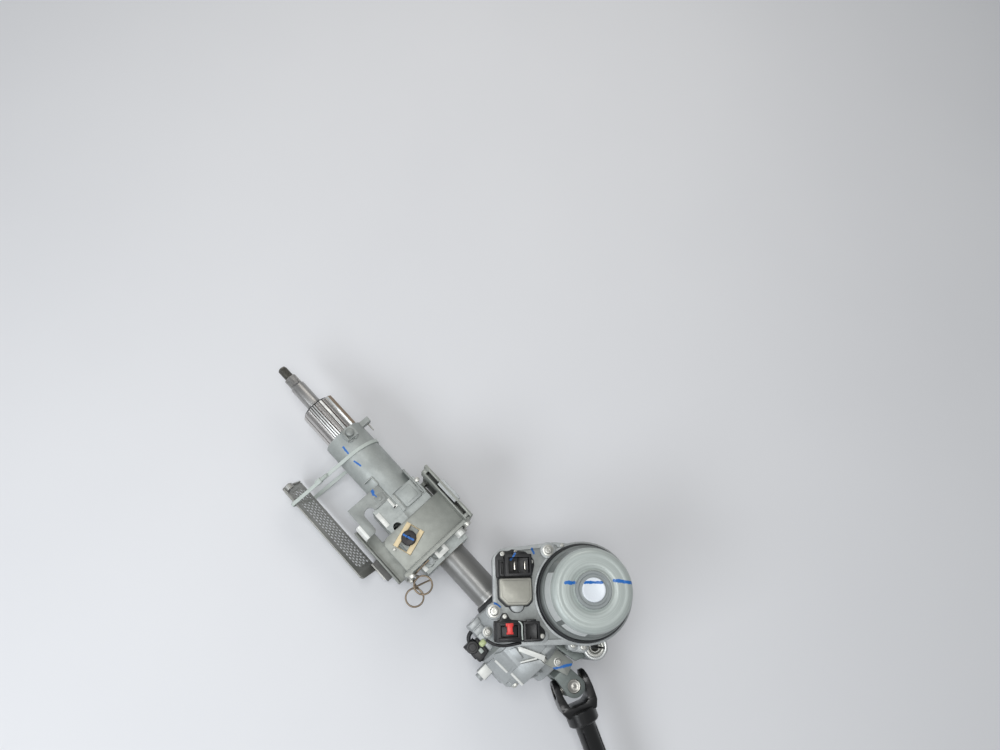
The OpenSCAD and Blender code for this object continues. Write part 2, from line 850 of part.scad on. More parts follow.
// Casting round the worm wheel, with the worm's tower and the pivot's arms
module gear_housing() color("gainsboro") difference() {
    union() {
        drum_rod(drum_x, drum_end - drum_x, drum_r);
        rod_z(gear_x, motor_y, -tower_low, tower_low + unit_z, tower_r);
        translate([drum_x, 0, -tower_r]) cube([drum_end - drum_x, motor_y, 2 * tower_r]);
        rod_z(pivot_x, pivot_y, -pivot_half, 2 * pivot_half, pivot_r);
        for (z = [-pivot_half, pivot_half - arm_thick])
            translate([gear_x, pivot_y - pivot_r, z]) cube([pivot_x - gear_x, 2 * pivot_r, arm_thick]);
        // foot under the drum
        rod_z(gear_x, 0, -floor_z, floor_z, foot_r);
        // stub on the free side
        translate([drum_x + stub_r, 0, 0]) rotate([90, 0, 0]) cylinder(h = drum_r + stub_len, r = stub_r);
    }
    drum_rod(drum_x - overrun, drum_end - drum_x + 2 * overrun, drum_r - drum_wall);
    rod_z(gear_x, motor_y, -tower_low + tower_wall, tower_low + unit_z, tower_bore);
    rod_z(gear_x, motor_y, -tower_low - overrun, tower_wall + 2 * overrun, tower_bore * plug_share);
    rod_z(pivot_x, pivot_y, -pivot_half - overrun, 2 * (pivot_half + overrun), pivot_bush_r + fit);
}

// Cover on the output side of the worm wheel
module gear_cover() color("silver") difference() {
    union() {
        rod_x(drum_end, cover_t, drum_r - drum_wall);
        rod_x(drum_end + cover_t, output_boss_len, output_boss_r);
    }
    rod_x(drum_end - overrun, cover_t + output_boss_len + 2 * overrun, output_bore + fit);
    rod_z(gear_x, motor_y, -tower_low, tower_low + unit_z, tower_r + fit);
    for (z = [-pivot_half, pivot_half - arm_thick])
        translate([gear_x, pivot_y - pivot_r - fit, z - fit])
            cube([pivot_x, 2 * pivot_r, arm_thick + 2 * fit]);
}

module worm_plug() color("gray")
    rod_z(gear_x, motor_y, -tower_low, tower_wall - fit, tower_bore * plug_share - fit);

module pivot_bush() color("white")
    tube_z(pivot_x, pivot_y, -pivot_half, 2 * pivot_half, pivot_bush_r, pivot_hole_r);

module output_plate() color("darkgray") in_xy(output_boss_r + fit, plate_t) difference() {
    polygon([
        [drum_end + cover_t, -output_boss_r],
        [output_x + 2 * plate_t, -output_boss_r / 2],
        [output_x + 4 * plate_t, output_boss_r / 2],
        [drum_end + cover_t, output_boss_r]
    ]);
    translate([output_x - output_boss_len / 2, 0]) circle(screw_r);
}

module output_bearing() color("lightgray") translate([drum_end + cover_t, 0, 0])
    ball_bearing(output_r + fit, output_bore, bearing_t);

module input_bearing() color("lightgray") translate([sensor_x + tube_in, 0, 0])
    ball_bearing(input_r + fit, tube_r - fit, bearing_t);

module sensor_coil() color("chocolate")
    tube_x(
        sensor_x + tube_in + bearing_t + gap, coil_ring_w,
        sensor_r - 2 * sensor_wall - fit, coil_ring_r - sensor_wall
    );

// Plug of the torque sensor, on the column's free side
module sensor_plug() color("black") translate([plug_x, plug_y - plug_l, -plug_h / 2])
    cube([plug_w, plug_l, plug_h]);

// The lead leaves the plug's side and turns into the shoulder behind it
lead_path = [
    for (a = [0:10:90])
        [plug_x - gap - lead_bend * sin(a), plug_y - gap - lead_bend * cos(a), 0]
];

module sensor_lead() color("black") sweep(lead_path, lead_r, [0.1, 0.2, 1]);

module housing_screws() color("silver") for (a = [100, 160, 220, 280])
    rotate([a, 0, 0]) translate([drum_end + cover_t, drum_r - drum_wall - 2 * screw_r, 0]) rotate([0, 90, 0])
        cylinder(h = screw_head_h, r = screw_r * 1.5, $fn = 6);

// Solid lower shaft that runs in the upper shaft's sleeve
module lower_shaft() color("silver") {
    spline_rod(lower_shaft_x, spline_end - lower_shaft_x + overrun, spline_root_r, spline_tip_r);
    rod_x(spline_end, sensor_x + tube_in - spline_end, spline_neck_r);
    tube_x(sensor_x + tube_in, bearing_t + rotor_ring_w, input_r, torsion_r + fit);
}

module torsion_bar() color("steelblue")
    rod_x(sensor_x + tube_in, gear_x - sensor_x - tube_in, torsion_r);

module sensor_rotor() color("dimgray")
    tube_x(sensor_x + tube_in + bearing_t + gap, rotor_ring_w - gap, rotor_ring_r, input_r + fit);

module output_shaft() color("silver") difference() {
    union() {
        rod_x(gear_x - wheel_face, output_x - gear_x + wheel_face + ear_t, output_r);
        yoke_at(joint_x, output_x + ear_t);
    }
    rod_x(gear_x - wheel_face - overrun, wheel_face + overrun, torsion_r + fit);
    rod_z(joint_x, 0, -ear_gap, 2 * ear_gap, cup_r + fit);
}

// Fork that holds the joint's cups above and below the axis
module yoke_at(centre, root) {
    for (side = [-1, 1]) {
        translate([centre, 0, side * (ear_gap / 2 + ear_t / 2)])
            cylinder(h = ear_t, r = ear_r, center = true);
        translate([root, -ear_half, side * (ear_gap / 2 + ear_t / 2) - ear_t / 2])
            cube([centre - root, 2 * ear_half, ear_t]);
    }
    translate([root - ear_t + gap, -ear_half, -ear_gap / 2 - ear_t])
        cube([ear_t - gap, 2 * ear_half, ear_gap + 2 * ear_t]);
}

module wheel_hub() color("gray")
    tube_x(gear_x - hub_w / 2, hub_w, hub_r, output_r + fit);

// Moulded rim of the worm wheel, with teeth set at the worm's lead
module worm_wheel() color("ivory") {
    difference() {
        union() {
            rod_x(gear_x - wheel_face / 2, wheel_face, wheel_pitch_r - tooth_down);
            for (i = [0:wheel_teeth - 1]) rotate([360 / wheel_teeth * i, 0, 0])
                translate([gear_x, wheel_pitch_r - tooth_down / 2, 0]) rotate([0, -lead_angle, 0])
                    translate([-wheel_face / 2 + overrun / 2, -tooth_down, -tooth_t / 2])
                        cube([wheel_face - overrun, tooth_up + tooth_down * 1.5, tooth_t]);
        }
        rod_x(gear_x - hub_w / 2, hub_w, hub_r);
        rod_x(gear_x - wheel_face, 2 * wheel_face, hub_r - overrun);
    }
}

function worm_outline() = [
    for (s = [0:worm_starts - 1], p = [
        [-thread_root_t / 2, worm_pitch_r - thread_down], [-thread_tip_t / 2, worm_pitch_r + thread_up],
        [0, worm_pitch_r + thread_up],
        [thread_tip_t / 2, worm_pitch_r + thread_up], [thread_root_t / 2, worm_pitch_r - thread_down],
        [thread_root_t / 2 + (worm_pitch - thread_root_t) / 3, worm_pitch_r - thread_down],
        [thread_root_t / 2 + (worm_pitch - thread_root_t) * 2 / 3, worm_pitch_r - thread_down]
    ])
        let (a = 360 * (s / worm_starts + p[0] / worm_lead))
        [p[1] * cos(a), p[1] * sin(a)]
];

// Worm and its shaft, standing in the tower
module worm() color("silver") {
    translate([gear_x, motor_y, -worm_len / 2]) rotate([0, 0, -360 * worm_len / 2 / worm_lead])
        linear_extrude(
            worm_len, twist = -360 * worm_len / worm_lead, slices = worm_slices, segments = worm_sides
        ) polygon(worm_outline());
    low = tower_low - tower_wall - gap;
    rod_z(gear_x, motor_y, -low, low - worm_len / 2, worm_shaft_r);
    high = motor_base_z + motor_h - can_wall - gap;
    rod_z(gear_x, motor_y, worm_len / 2, high - worm_len / 2, worm_shaft_r);
}

module worm_bearings() color("lightgray")
    for (z = [-worm_len / 2 - bearing_t * 1.5, worm_len / 2 + bearing_t / 2])
        translate([gear_x, motor_y, z]) rotate([0, -90, 0])
            ball_bearing(worm_shaft_r + fit, tower_bore - fit, bearing_t);

module rotor() color("dimgray")
    tube_z(
        gear_x, motor_y, motor_base_z + gap, motor_h / 2,
        motor_r - can_wall - stator_wall - rotor_gap, worm_shaft_r
    );

module stator() color("chocolate")
    tube_z(
        gear_x, motor_y, motor_base_z + gap, motor_h / 2,
        motor_r - can_wall, motor_r - can_wall - stator_wall
    );

// Drawn can of the motor, open below, with a step and a raised boss on top
function can_profile(low, top, lid, wall) = concat(
    [[low, 0], [low, can_low_h - wall], [top, can_low_h - wall]],
    [for (a = [0:15:90]) [top - can_round + can_round * cos(a), lid - can_round + can_round * sin(a)]]
);

module motor_can() color("lightgray") translate([gear_x, motor_y, motor_base_z]) rotate_extrude($fn = 96)
    difference() {
        polygon(concat(
            can_profile(can_low_r, motor_r, motor_h, 0),
            [[boss_ring_r, motor_h], [boss_ring_r, motor_h + boss_rise], [0, motor_h + boss_rise], [0, 0]]
        ));
        polygon(concat(
            [[can_low_r - can_wall, -overrun]],
            can_profile(can_low_r - can_wall, motor_r - can_wall, motor_h - can_wall, can_wall),
            [[0, motor_h - can_wall], [0, -overrun]]
        ));
    }

module motor_seal() color("black")
    tube_z(gear_x, motor_y, motor_base_z, seal_h, seal_r, can_low_r + fit);

module motor_cap() color("white")
    rod_z(gear_x, motor_y, motor_base_z + motor_h + boss_rise, boss_rise / 3, cap_r);

module at_unit(z) {
    translate([gear_x, motor_y, z]) rotate([0, 0, unit_turn]) children();
}

// Cast base of the control unit, which also carries the motor
module unit_base() color("gainsboro") difference() {
    at_unit(unit_z) {
        linear_extrude(base_t) polygon([
            [unit_left, unit_low_step], [unit_left, unit_top - unit_cut], [unit_left + unit_cut, unit_top],
            [unit_peak, unit_top + unit_lift], [0, unit_top], [0, unit_bottom], [unit_left, unit_bottom]
        ]);
        cylinder(h = base_t, r = base_ring_r);
    }
    rod_z(gear_x, motor_y, unit_z - overrun, base_t + 2 * overrun, motor_r - can_wall - stator_wall);
}

// Pressed lid over the control unit's board
module unit_lid() color("gainsboro") at_unit(motor_base_z) difference() {
    linear_extrude(lid_h) lid_outline(0);
    translate([0, 0, -overrun]) linear_extrude(lid_h - lid_wall + overrun) lid_outline(lid_wall);
}

module lid_outline(wall) {
    polygon([
        [lid_x + wall, lid_y + lid_l - wall], [lid_x + lid_w - wall, lid_y + lid_l - wall],
        [lid_x + lid_w - wall, lid_y + wall], [lid_x + unit_cut, lid_y + wall],
        [lid_x + wall, lid_y + unit_cut]
    ]);
}

module circuit_board() color("green") at_unit(motor_base_z + fit)
    translate([lid_x + lid_wall + gap, lid_y + lid_l - lid_wall - gap - board_l, 0])
        cube([board_w, board_l, board_t]);

module power_socket() color("black") at_unit(motor_base_z) difference() {
    translate([power_x, power_y, 0]) cube([power_w, power_l, socket_h]);
    translate([power_x + socket_wall, power_y + socket_wall, socket_wall])
        cube([power_w - 2 * socket_wall, power_l - 2 * socket_wall, socket_h]);
}

module signal_socket() color("black") at_unit(motor_base_z) difference() {
    translate([signal_x, signal_y, 0]) cube([signal_w, signal_l, socket_h]);
    for (x = [signal_x + socket_wall, signal_x + signal_split + socket_wall / 2])
        translate([x, signal_y + socket_wall, socket_wall])
            cube([signal_w - signal_split - 1.5 * socket_wall, signal_l - 2 * socket_wall, socket_h]);
}

module unit_screws() color("silver") at_unit(motor_base_z) for (p = [
    [unit_left + screw_head_r, lid_y - screw_head_r],
    [unit_peak - 2 * screw_head_r, unit_top - screw_head_r / 2],
    [unit_left + 2.5 * screw_head_r, unit_top - screw_head_r / 2],
    [signal_x + signal_w + screw_head_r, unit_bottom + 1.5 * screw_head_r]
]) translate(p) cylinder(h = screw_head_h / 2, r = screw_r * 1.6);

// Cross of a joint with its four cups
module joint_cross() {
    half = ear_gap / 2 + ear_t - gap;
    cylinder(h = 2 * half, r = journal_r, center = true);
    rotate([90, 0, 0]) cylinder(h = 2 * half, r = journal_r, center = true);
    for (a = [0, 90], side = [-1, 1]) rotate([a, 0, 0])
        translate([0, 0, side * (half - ear_t / 2)]) cylinder(h = ear_t, r = cup_r, center = true);
    sphere(ear_gap / 4);
}

module at_joint() {
    translate([joint_x, 0, 0]) rotate([0, 0, swing]) children();
}

module at_slide(x) {
    translate([joint_x, 0, 0]) rotate([0, pitch, swing]) translate([x, 0, 0]) children();
}

module upper_cross() color("lightgray") at_joint() joint_cross();

// Two ears and the bridge behind them, drawn from the joint's centre along X
module fork_ears() {
    for (side = [-1, 1]) {
        translate([0, 0, side * (ear_gap / 2 + ear_t / 2)])
            cylinder(h = ear_t, r = ear_r, center = true);
        translate([0, -ear_half, side * (ear_gap / 2 + ear_t / 2) - ear_t / 2])
            cube([ear_reach, 2 * ear_half, ear_t]);
    }
    translate([ear_reach, -ear_half, -ear_gap / 2 - ear_t])
        cube([ear_t, 2 * ear_half, ear_gap + 2 * ear_t]);
}

// The same with the ears to the sides, and a round hub
module side_fork(direction, hub_r) {
    rotate([90, 0, direction < 0 ? 180 : 0]) difference() {
        union() {
            fork_ears();
            translate([ear_reach + ear_t, 0, 0]) rotate([0, 90, 0]) cylinder(h = hub_len, r = hub_r);
        }
        cylinder(h = 3 * ear_gap, r = cup_r + fit, center = true);
    }
}

module slide_tube() color("black") difference() {
    union() {
        at_slide(0) side_fork(1, slide_r + ear_t / 2);
        at_slide(ear_reach + ear_t) rod_x(0, slide_tube_len, slide_r);
    }
    at_slide(ear_reach + ear_t + chamfer)
        spline_rod(0, slide_tube_len, spline_r - slide_spline_depth + 2 * fit, spline_r + 2 * fit);
}

module slide_shaft() color("dimgray") {
    at_slide(joint_span / 3)
        spline_rod(0, joint_span * 2 / 3 - ear_reach - ear_t, spline_r - slide_spline_depth, spline_r);
    at_slide(joint_span) side_fork(-1, slide_r);
}

module lower_cross() color("lightgray") at_slide(joint_span) joint_cross();

// Yoke that clamps on the steering gear's pinion shaft
module lower_yoke() color("gray") at_slide(joint_span) difference() {
    union() {
        fork_ears();
        rod_x(ear_reach + ear_t, pinch_len, pinch_r);
        translate([ear_reach + ear_t, -pinch_r - pinch_ear / 2, -pinch_ear])
            cube([pinch_len, pinch_r + pinch_ear / 2, 2 * pinch_ear]);
    }
    cylinder(h = 3 * ear_gap, r = cup_r + fit, center = true);
    rod_x(ear_reach - overrun, ear_t + pinch_len + 2 * overrun, pinch_bore);
    translate([ear_reach + ear_t, -2 * pinch_r, -pinch_slit / 2])
        cube([pinch_len + overrun, 2 * pinch_r, pinch_slit]);
    rod_z(
        ear_reach + ear_t + pinch_len / 2, -pinch_bore - pinch_hole_r,
        -2 * pinch_ear, 4 * pinch_ear, pinch_hole_r
    );
}

upper_shaft();
nose_tube();
upper_bearing();
jacket();
lock_bolt();
stop_plate();
nose_ring();
cable_tie();
telescope_bush();
cheek_bracket();
mounting_flange();
end_plate();
release_capsules();
balance_spring();
clamp_bolt();
tilt_bush();
pressure_cam();
rotating_cam();
thrust_washer();
clamp_nut();
lever_arm();
lever_panel();
lower_tube();
tube_seal();
sensor_housing();
gear_housing();
gear_cover();
worm_plug();
pivot_bush();
output_plate();
output_bearing();
input_bearing();
sensor_coil();
sensor_plug();
sensor_lead();
housing_screws();
lower_shaft();
torsion_bar();
sensor_rotor();
wheel_hub();
worm_wheel();
output_shaft();
worm();
worm_bearings();
rotor();
stator();
motor_can();
motor_seal();
motor_cap();
unit_base();
unit_lid();
circuit_board();
power_socket();
signal_socket();
unit_screws();
upper_cross();
slide_tube();
slide_shaft();
lower_cross();
lower_yoke();
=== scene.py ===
"""Looks of the power-assisted steering column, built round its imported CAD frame. Sizes are in millimetres until they reach a mesh."""

import math

import bmesh
import bpy
from mathutils import Matrix, Vector


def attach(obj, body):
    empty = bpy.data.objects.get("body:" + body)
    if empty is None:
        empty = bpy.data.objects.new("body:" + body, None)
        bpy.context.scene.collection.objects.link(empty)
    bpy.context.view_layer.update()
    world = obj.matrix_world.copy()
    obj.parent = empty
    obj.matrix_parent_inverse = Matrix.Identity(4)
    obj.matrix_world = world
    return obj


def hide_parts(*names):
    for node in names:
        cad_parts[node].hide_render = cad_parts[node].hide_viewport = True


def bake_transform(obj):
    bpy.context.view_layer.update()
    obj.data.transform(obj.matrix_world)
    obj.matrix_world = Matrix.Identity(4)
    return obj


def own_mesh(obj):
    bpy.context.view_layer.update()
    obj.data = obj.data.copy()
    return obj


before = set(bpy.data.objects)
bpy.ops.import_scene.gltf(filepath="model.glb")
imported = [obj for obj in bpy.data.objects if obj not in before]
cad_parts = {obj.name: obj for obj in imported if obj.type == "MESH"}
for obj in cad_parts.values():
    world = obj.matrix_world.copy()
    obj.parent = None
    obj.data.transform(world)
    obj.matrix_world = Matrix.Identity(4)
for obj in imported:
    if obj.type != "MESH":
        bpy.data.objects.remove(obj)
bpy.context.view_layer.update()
MM = 0.001

# Places that the CAD gives, in millimetres
MOTOR = Vector((447, 74.48, 0))
UNIT_TURN = math.radians(48)
CLAMP = Vector((261, -27.5, 0))
TILT_SHARE = math.atan2(503 - 261, 47 + 27.5) - math.pi / 2
JOINT_X = 518
SWING = math.radians(-22)
SPAN = 290
PITCH = math.asin((60.3 - 15 - 6 - 4.5) / SPAN)
FLOOR_Z = -60.3
BLUE = (24, 104, 184)


def tone(r, g, b):
    """A colour given as a screen shows it, for a shader's socket."""
    line = [c / 255 for c in (r, g, b)]
    return tuple(c / 12.92 if c <= 0.04045 else ((c + 0.055) / 1.055) ** 2.4 for c in line) + (1,)


# Camera, lamps and floor


def camera():
    data = bpy.data.cameras.new("camera")
    data.lens, data.sensor_width = 27.72, 36
    data.clip_start, data.clip_end = 0.01, 50
    cam = bpy.data.objects.new("camera", data)
    right, up = Vector((0.68951, 0.71526, 0.11392)), Vector((-0.70658, 0.62976, 0.32270))
    back = right.cross(up)
    spot = Vector((344.55, -105.41, 972.82)) * MM
    cam.matrix_world = Matrix(
        [(right[i], up[i], back[i], spot[i]) for i in range(3)] + [(0, 0, 0, 1)]
    )
    bpy.context.collection.objects.link(cam)
    bpy.context.scene.camera = cam


def softbox(name, spot, aim, size, watts, colour=(255, 255, 255)):
    data = bpy.data.lights.new(name, "AREA")
    data.shape, data.size, data.size_y = "RECTANGLE", size[0], size[1]
    data.energy, data.color = watts, tone(*colour)[:3]
    lamp = bpy.data.objects.new(name, data)
    lamp.location = spot
    lamp.rotation_euler = (Vector(aim) - Vector(spot)).to_track_quat("-Z", "Y").to_euler()
    bpy.context.collection.objects.link(lamp)


# Node helpers


def put(tree, kind, **inputs):
    node = tree.nodes.new(kind)
    for key, value in inputs.items():
        socket = node.inputs[int(key[2:])] if key.startswith("at") else node.inputs[key.replace("_", " ")]
        if isinstance(value, bpy.types.NodeSocket):
            tree.links.new(value, socket)
        else:
            socket.default_value = value
    return node


def calc(tree, operation, *values, clamp=False):
    node = tree.nodes.new("ShaderNodeMath")
    node.operation, node.use_clamp = operation, clamp
    for socket, value in zip(node.inputs, values):
        if isinstance(value, bpy.types.NodeSocket):
            tree.links.new(value, socket)
        else:
            socket.default_value = value
    return node.outputs[0]


def vcalc(tree, operation, *values, out=0):
    node = tree.nodes.new("ShaderNodeVectorMath")
    node.operation = operation
    for socket, value in zip(node.inputs, values):
        if isinstance(value, bpy.types.NodeSocket):
            tree.links.new(value, socket)
        else:
            socket.default_value = value
    return node.outputs[out]


def ramp(tree, value, low, high, to_low=0.0, to_high=1.0):
    node = put(tree, "ShaderNodeMapRange", Value=value, From_Min=low, From_Max=high, To_Min=to_low, To_Max=to_high)
    node.interpolation_type = "SMOOTHSTEP"
    return node.outputs[0]


def blend_colour(tree, share, one, other):
    node = tree.nodes.new("ShaderNodeMix")
    node.data_type = "RGBA"
    for socket, value in ((node.inputs[0], share), (node.inputs[6], one), (node.inputs[7], other)):
        if isinstance(value, bpy.types.NodeSocket):
            tree.links.new(value, socket)
        else:
            socket.default_value = value
    return node.outputs[2]


def new_group(name, inputs, outputs):
    group = bpy.data.node_groups.new(name, "ShaderNodeTree")
    for label, kind, value in inputs:
        socket = group.interface.new_socket(label, in_out="INPUT", socket_type="NodeSocket" + kind)
        socket.default_value = value
    for label, kind in outputs:
        group.interface.new_socket(label, in_out="OUTPUT", socket_type="NodeSocket" + kind)
    return group, group.nodes.new("NodeGroupInput").outputs, group.nodes.new("NodeGroupOutput").inputs


def make_grain():
    """Skin of a casting, sheet or moulding: broad cloudiness, fine grain and softened edges."""
    group, given, out = new_group(
        "surface grain",
        [("Scale", "Float", 300.0), ("Stretch", "Vector", (1, 1, 1)), ("Depth", "Float", 0.0), ("Edge", "Float", 0.0004)],
        [("Cloud", "Float"), ("Grain", "Float"), ("Normal", "Vector")],
    )
    place = vcalc(group, "MULTIPLY", group.nodes.new("ShaderNodeTexCoord").outputs["Object"], given["Stretch"])
    broad = put(group, "ShaderNodeTexNoise", Vector=place, Scale=calc(group, "MULTIPLY", given["Scale"], 0.09), Detail=4.0)
    fine = put(group, "ShaderNodeTexNoise", Vector=place, Scale=given["Scale"], Detail=3.0)
    tiny = put(group, "ShaderNodeTexNoise", Vector=place, Scale=calc(group, "MULTIPLY", given["Scale"], 5.0), Detail=2.0)
    soft = put(group, "ShaderNodeBevel", Radius=given["Edge"])
    soft.samples = 4
    height = calc(group, "ADD", fine.outputs[0], calc(group, "MULTIPLY", tiny.outputs[0], 0.5))
    bump = put(group, "ShaderNodeBump", Strength=1.0, Distance=given["Depth"], Height=height, Normal=soft.outputs[0])
    links = group.links
    links.new(ramp(group, broad.outputs[0], 0.34, 0.66), out["Cloud"])
    links.new(ramp(group, height, 0.5, 1.0), out["Grain"])
    links.new(bump.outputs[0], out["Normal"])
    return group


def make_wear():
    """Worn or machined edges: where the softened normal leaves the true one."""
    group, given, out = new_group(
        "edge wear", [("Radius", "Float", 0.001), ("Break", "Float", 600.0)], [("Mask", "Float")]
    )
    soft = put(group, "ShaderNodeBevel", Radius=given["Radius"])
    soft.samples = 4
    along = vcalc(group, "DOT_PRODUCT", soft.outputs[0], group.nodes.new("ShaderNodeNewGeometry").outputs["Normal"], out=1)
    rough = put(group, "ShaderNodeTexNoise", Vector=group.nodes.new("ShaderNodeTexCoord").outputs["Object"], Scale=given["Break"])
    edge = ramp(group, calc(group, "SUBTRACT", 1.0, along), 0.02, 0.2)
    group.links.new(
        calc(group, "MULTIPLY", edge, ramp(group, rough.outputs[0], 0.35, 0.6, 0.35, 1.0), clamp=True), out["Mask"]
    )
    return group


def make_rings():
    """Turned rings about an axis through Centre; Across blanks the axis."""
    group, given, out = new_group(
        "turned rings",
        [("Centre", "Vector", (0, 0, 0)), ("Across", "Vector", (1, 1, 0)), ("Scale", "Float", 900.0)],
        [("Ring", "Float")],
    )
    place = vcalc(group, "SUBTRACT", group.nodes.new("ShaderNodeTexCoord").outputs["Object"], given["Centre"])
    radius = vcalc(group, "LENGTH", vcalc(group, "MULTIPLY", place, given["Across"]), out=1)
    lines = put(group, "ShaderNodeTexNoise", Detail=3.0, Scale=given["Scale"])
    lines.noise_dimensions = "1D"
    group.links.new(radius, lines.inputs["W"])
    group.links.new(ramp(group, lines.outputs[0], 0.3, 0.7), out["Ring"])
    return group


def make_stroke():
    """A stroke of marking paint drawn from Start to End, seen from above."""
    group, given, out = new_group(
        "marking stroke",
        [("Start", "Vector", (0, 0, 0)), ("End", "Vector", (0, 0, 0)), ("Width", "Float", 0.001)],
        [("Mask", "Float")],
    )
    spot = group.nodes.new("ShaderNodeTexCoord").outputs["Object"]
    wobble = put(group, "ShaderNodeTexNoise", Vector=spot, Scale=350.0, Detail=3.0)
    flat = vcalc(group, "MULTIPLY", spot, (1, 1, 0))
    reach = vcalc(group, "SUBTRACT", given["End"], given["Start"])
    off = vcalc(group, "SUBTRACT", flat, given["Start"])
    share = calc(
        group, "DIVIDE", vcalc(group, "DOT_PRODUCT", off, reach, out=1),
        vcalc(group, "DOT_PRODUCT", reach, reach, out=1), clamp=True,
    )
    scaled = group.nodes.new("ShaderNodeVectorMath")
    scaled.operation = "SCALE"
    group.links.new(reach, scaled.inputs[0])
    group.links.new(share, scaled.inputs["Scale"])
    gap = vcalc(group, "LENGTH", vcalc(group, "SUBTRACT", off, scaled.outputs[0]), out=1)
    uneven = calc(group, "MULTIPLY", calc(group, "SUBTRACT", wobble.outputs[0], 0.5), given["Width"])
    edge = calc(group, "SUBTRACT", calc(group, "ADD", gap, uneven), calc(group, "MULTIPLY", given["Width"], 0.5))
    body = ramp(group, edge, 0.0, 0.0003, 1.0, 0.0)
    facing = put(group, "ShaderNodeSeparateXYZ", Vector=group.nodes.new("ShaderNodeNewGeometry").outputs["Normal"])
    group.links.new(
        calc(group, "MULTIPLY", body, ramp(group, facing.outputs[2], 0.1, 0.3)), out["Mask"]
    )
    return group


GRAIN, WEAR, RINGS, STROKE = make_grain(), make_wear(), make_rings(), make_stroke()


def use(tree, group, **inputs):
    node = tree.nodes.new("ShaderNodeGroup")
    node.node_tree = group
    for key, value in inputs.items():
        if isinstance(value, bpy.types.NodeSocket):
            tree.links.new(value, node.inputs[key])
        else:
            node.inputs[key].default_value = value
    return node.outputs


def finish(name, colour, metal=0.0, rough=0.5, grain=300.0, stretch=(1, 1, 1), depth=0.02, edge=0.4, spread=0.1,
           rough_spread=0.12, wear=0.0, wear_colour=(215, 218, 216), rings=None, strokes=(), coat=0.0):
    """A material of one finish. depth and edge are in millimetres; rings is (centre, across, scale, share)."""
    mat = bpy.data.materials.new(name)
    mat.use_nodes = True
    tree = mat.node_tree
    shader = tree.nodes["Principled BSDF"]
    skin = use(tree, GRAIN, Scale=grain, Stretch=stretch, Depth=depth * MM, Edge=edge * MM)
    base = tone(*colour)
    dark = tuple(c * (1 - 1.6 * spread) for c in base[:3]) + (1,)
    light = tuple(min(1, c * (1 + spread)) for c in base[:3]) + (1,)
    shade = calc(tree, "ADD", calc(tree, "MULTIPLY", skin["Cloud"], 0.6), calc(tree, "MULTIPLY", skin["Grain"], 0.4))
    normal = skin["Normal"]
    if rings:
        centre, across, scale, share = rings
        turned = use(tree, RINGS, Centre=Vector(centre) * MM, Across=across, Scale=scale)
        shade = calc(tree, "ADD", calc(tree, "MULTIPLY", shade, 1 - share), calc(tree, "MULTIPLY", turned["Ring"], share))
        normal = put(
            tree, "ShaderNodeBump", Strength=0.6, Distance=0.00004, Height=turned["Ring"], Normal=normal
        ).outputs[0]
    paint = blend_colour(tree, shade, dark, light)
    gloss = ramp(tree, shade, 0.0, 1.0, rough + rough_spread / 2, rough - rough_spread / 2)
    if wear:
        worn = calc(tree, "MULTIPLY", use(tree, WEAR, Radius=2.2 * edge * MM, Break=500.0)["Mask"], wear)
        paint = blend_colour(tree, worn, paint, tone(*wear_colour))
    metallic = metal
    for start, end, width in strokes:
        mark = use(
            tree, STROKE, Start=Vector((*start, 0)) * MM, End=Vector((*end, 0)) * MM, Width=width * MM
        )["Mask"]
        paint = blend_colour(tree, mark, paint, tone(*BLUE))
        metallic = calc(tree, "MULTIPLY", metallic, calc(tree, "SUBTRACT", 1.0, mark)) if metal else metal
    tree.links.new(paint, shader.inputs["Base Color"])
    tree.links.new(gloss, shader.inputs["Roughness"])
    if isinstance(metallic, bpy.types.NodeSocket):
        tree.links.new(metallic, shader.inputs["Metallic"])
    else:
        shader.inputs["Metallic"].default_value = metallic
    tree.links.new(normal, shader.inputs["Normal"])
    shader.inputs["Coat Weight"].default_value = coat
    mat.diffuse_color = base
    return mat


MATS = {}


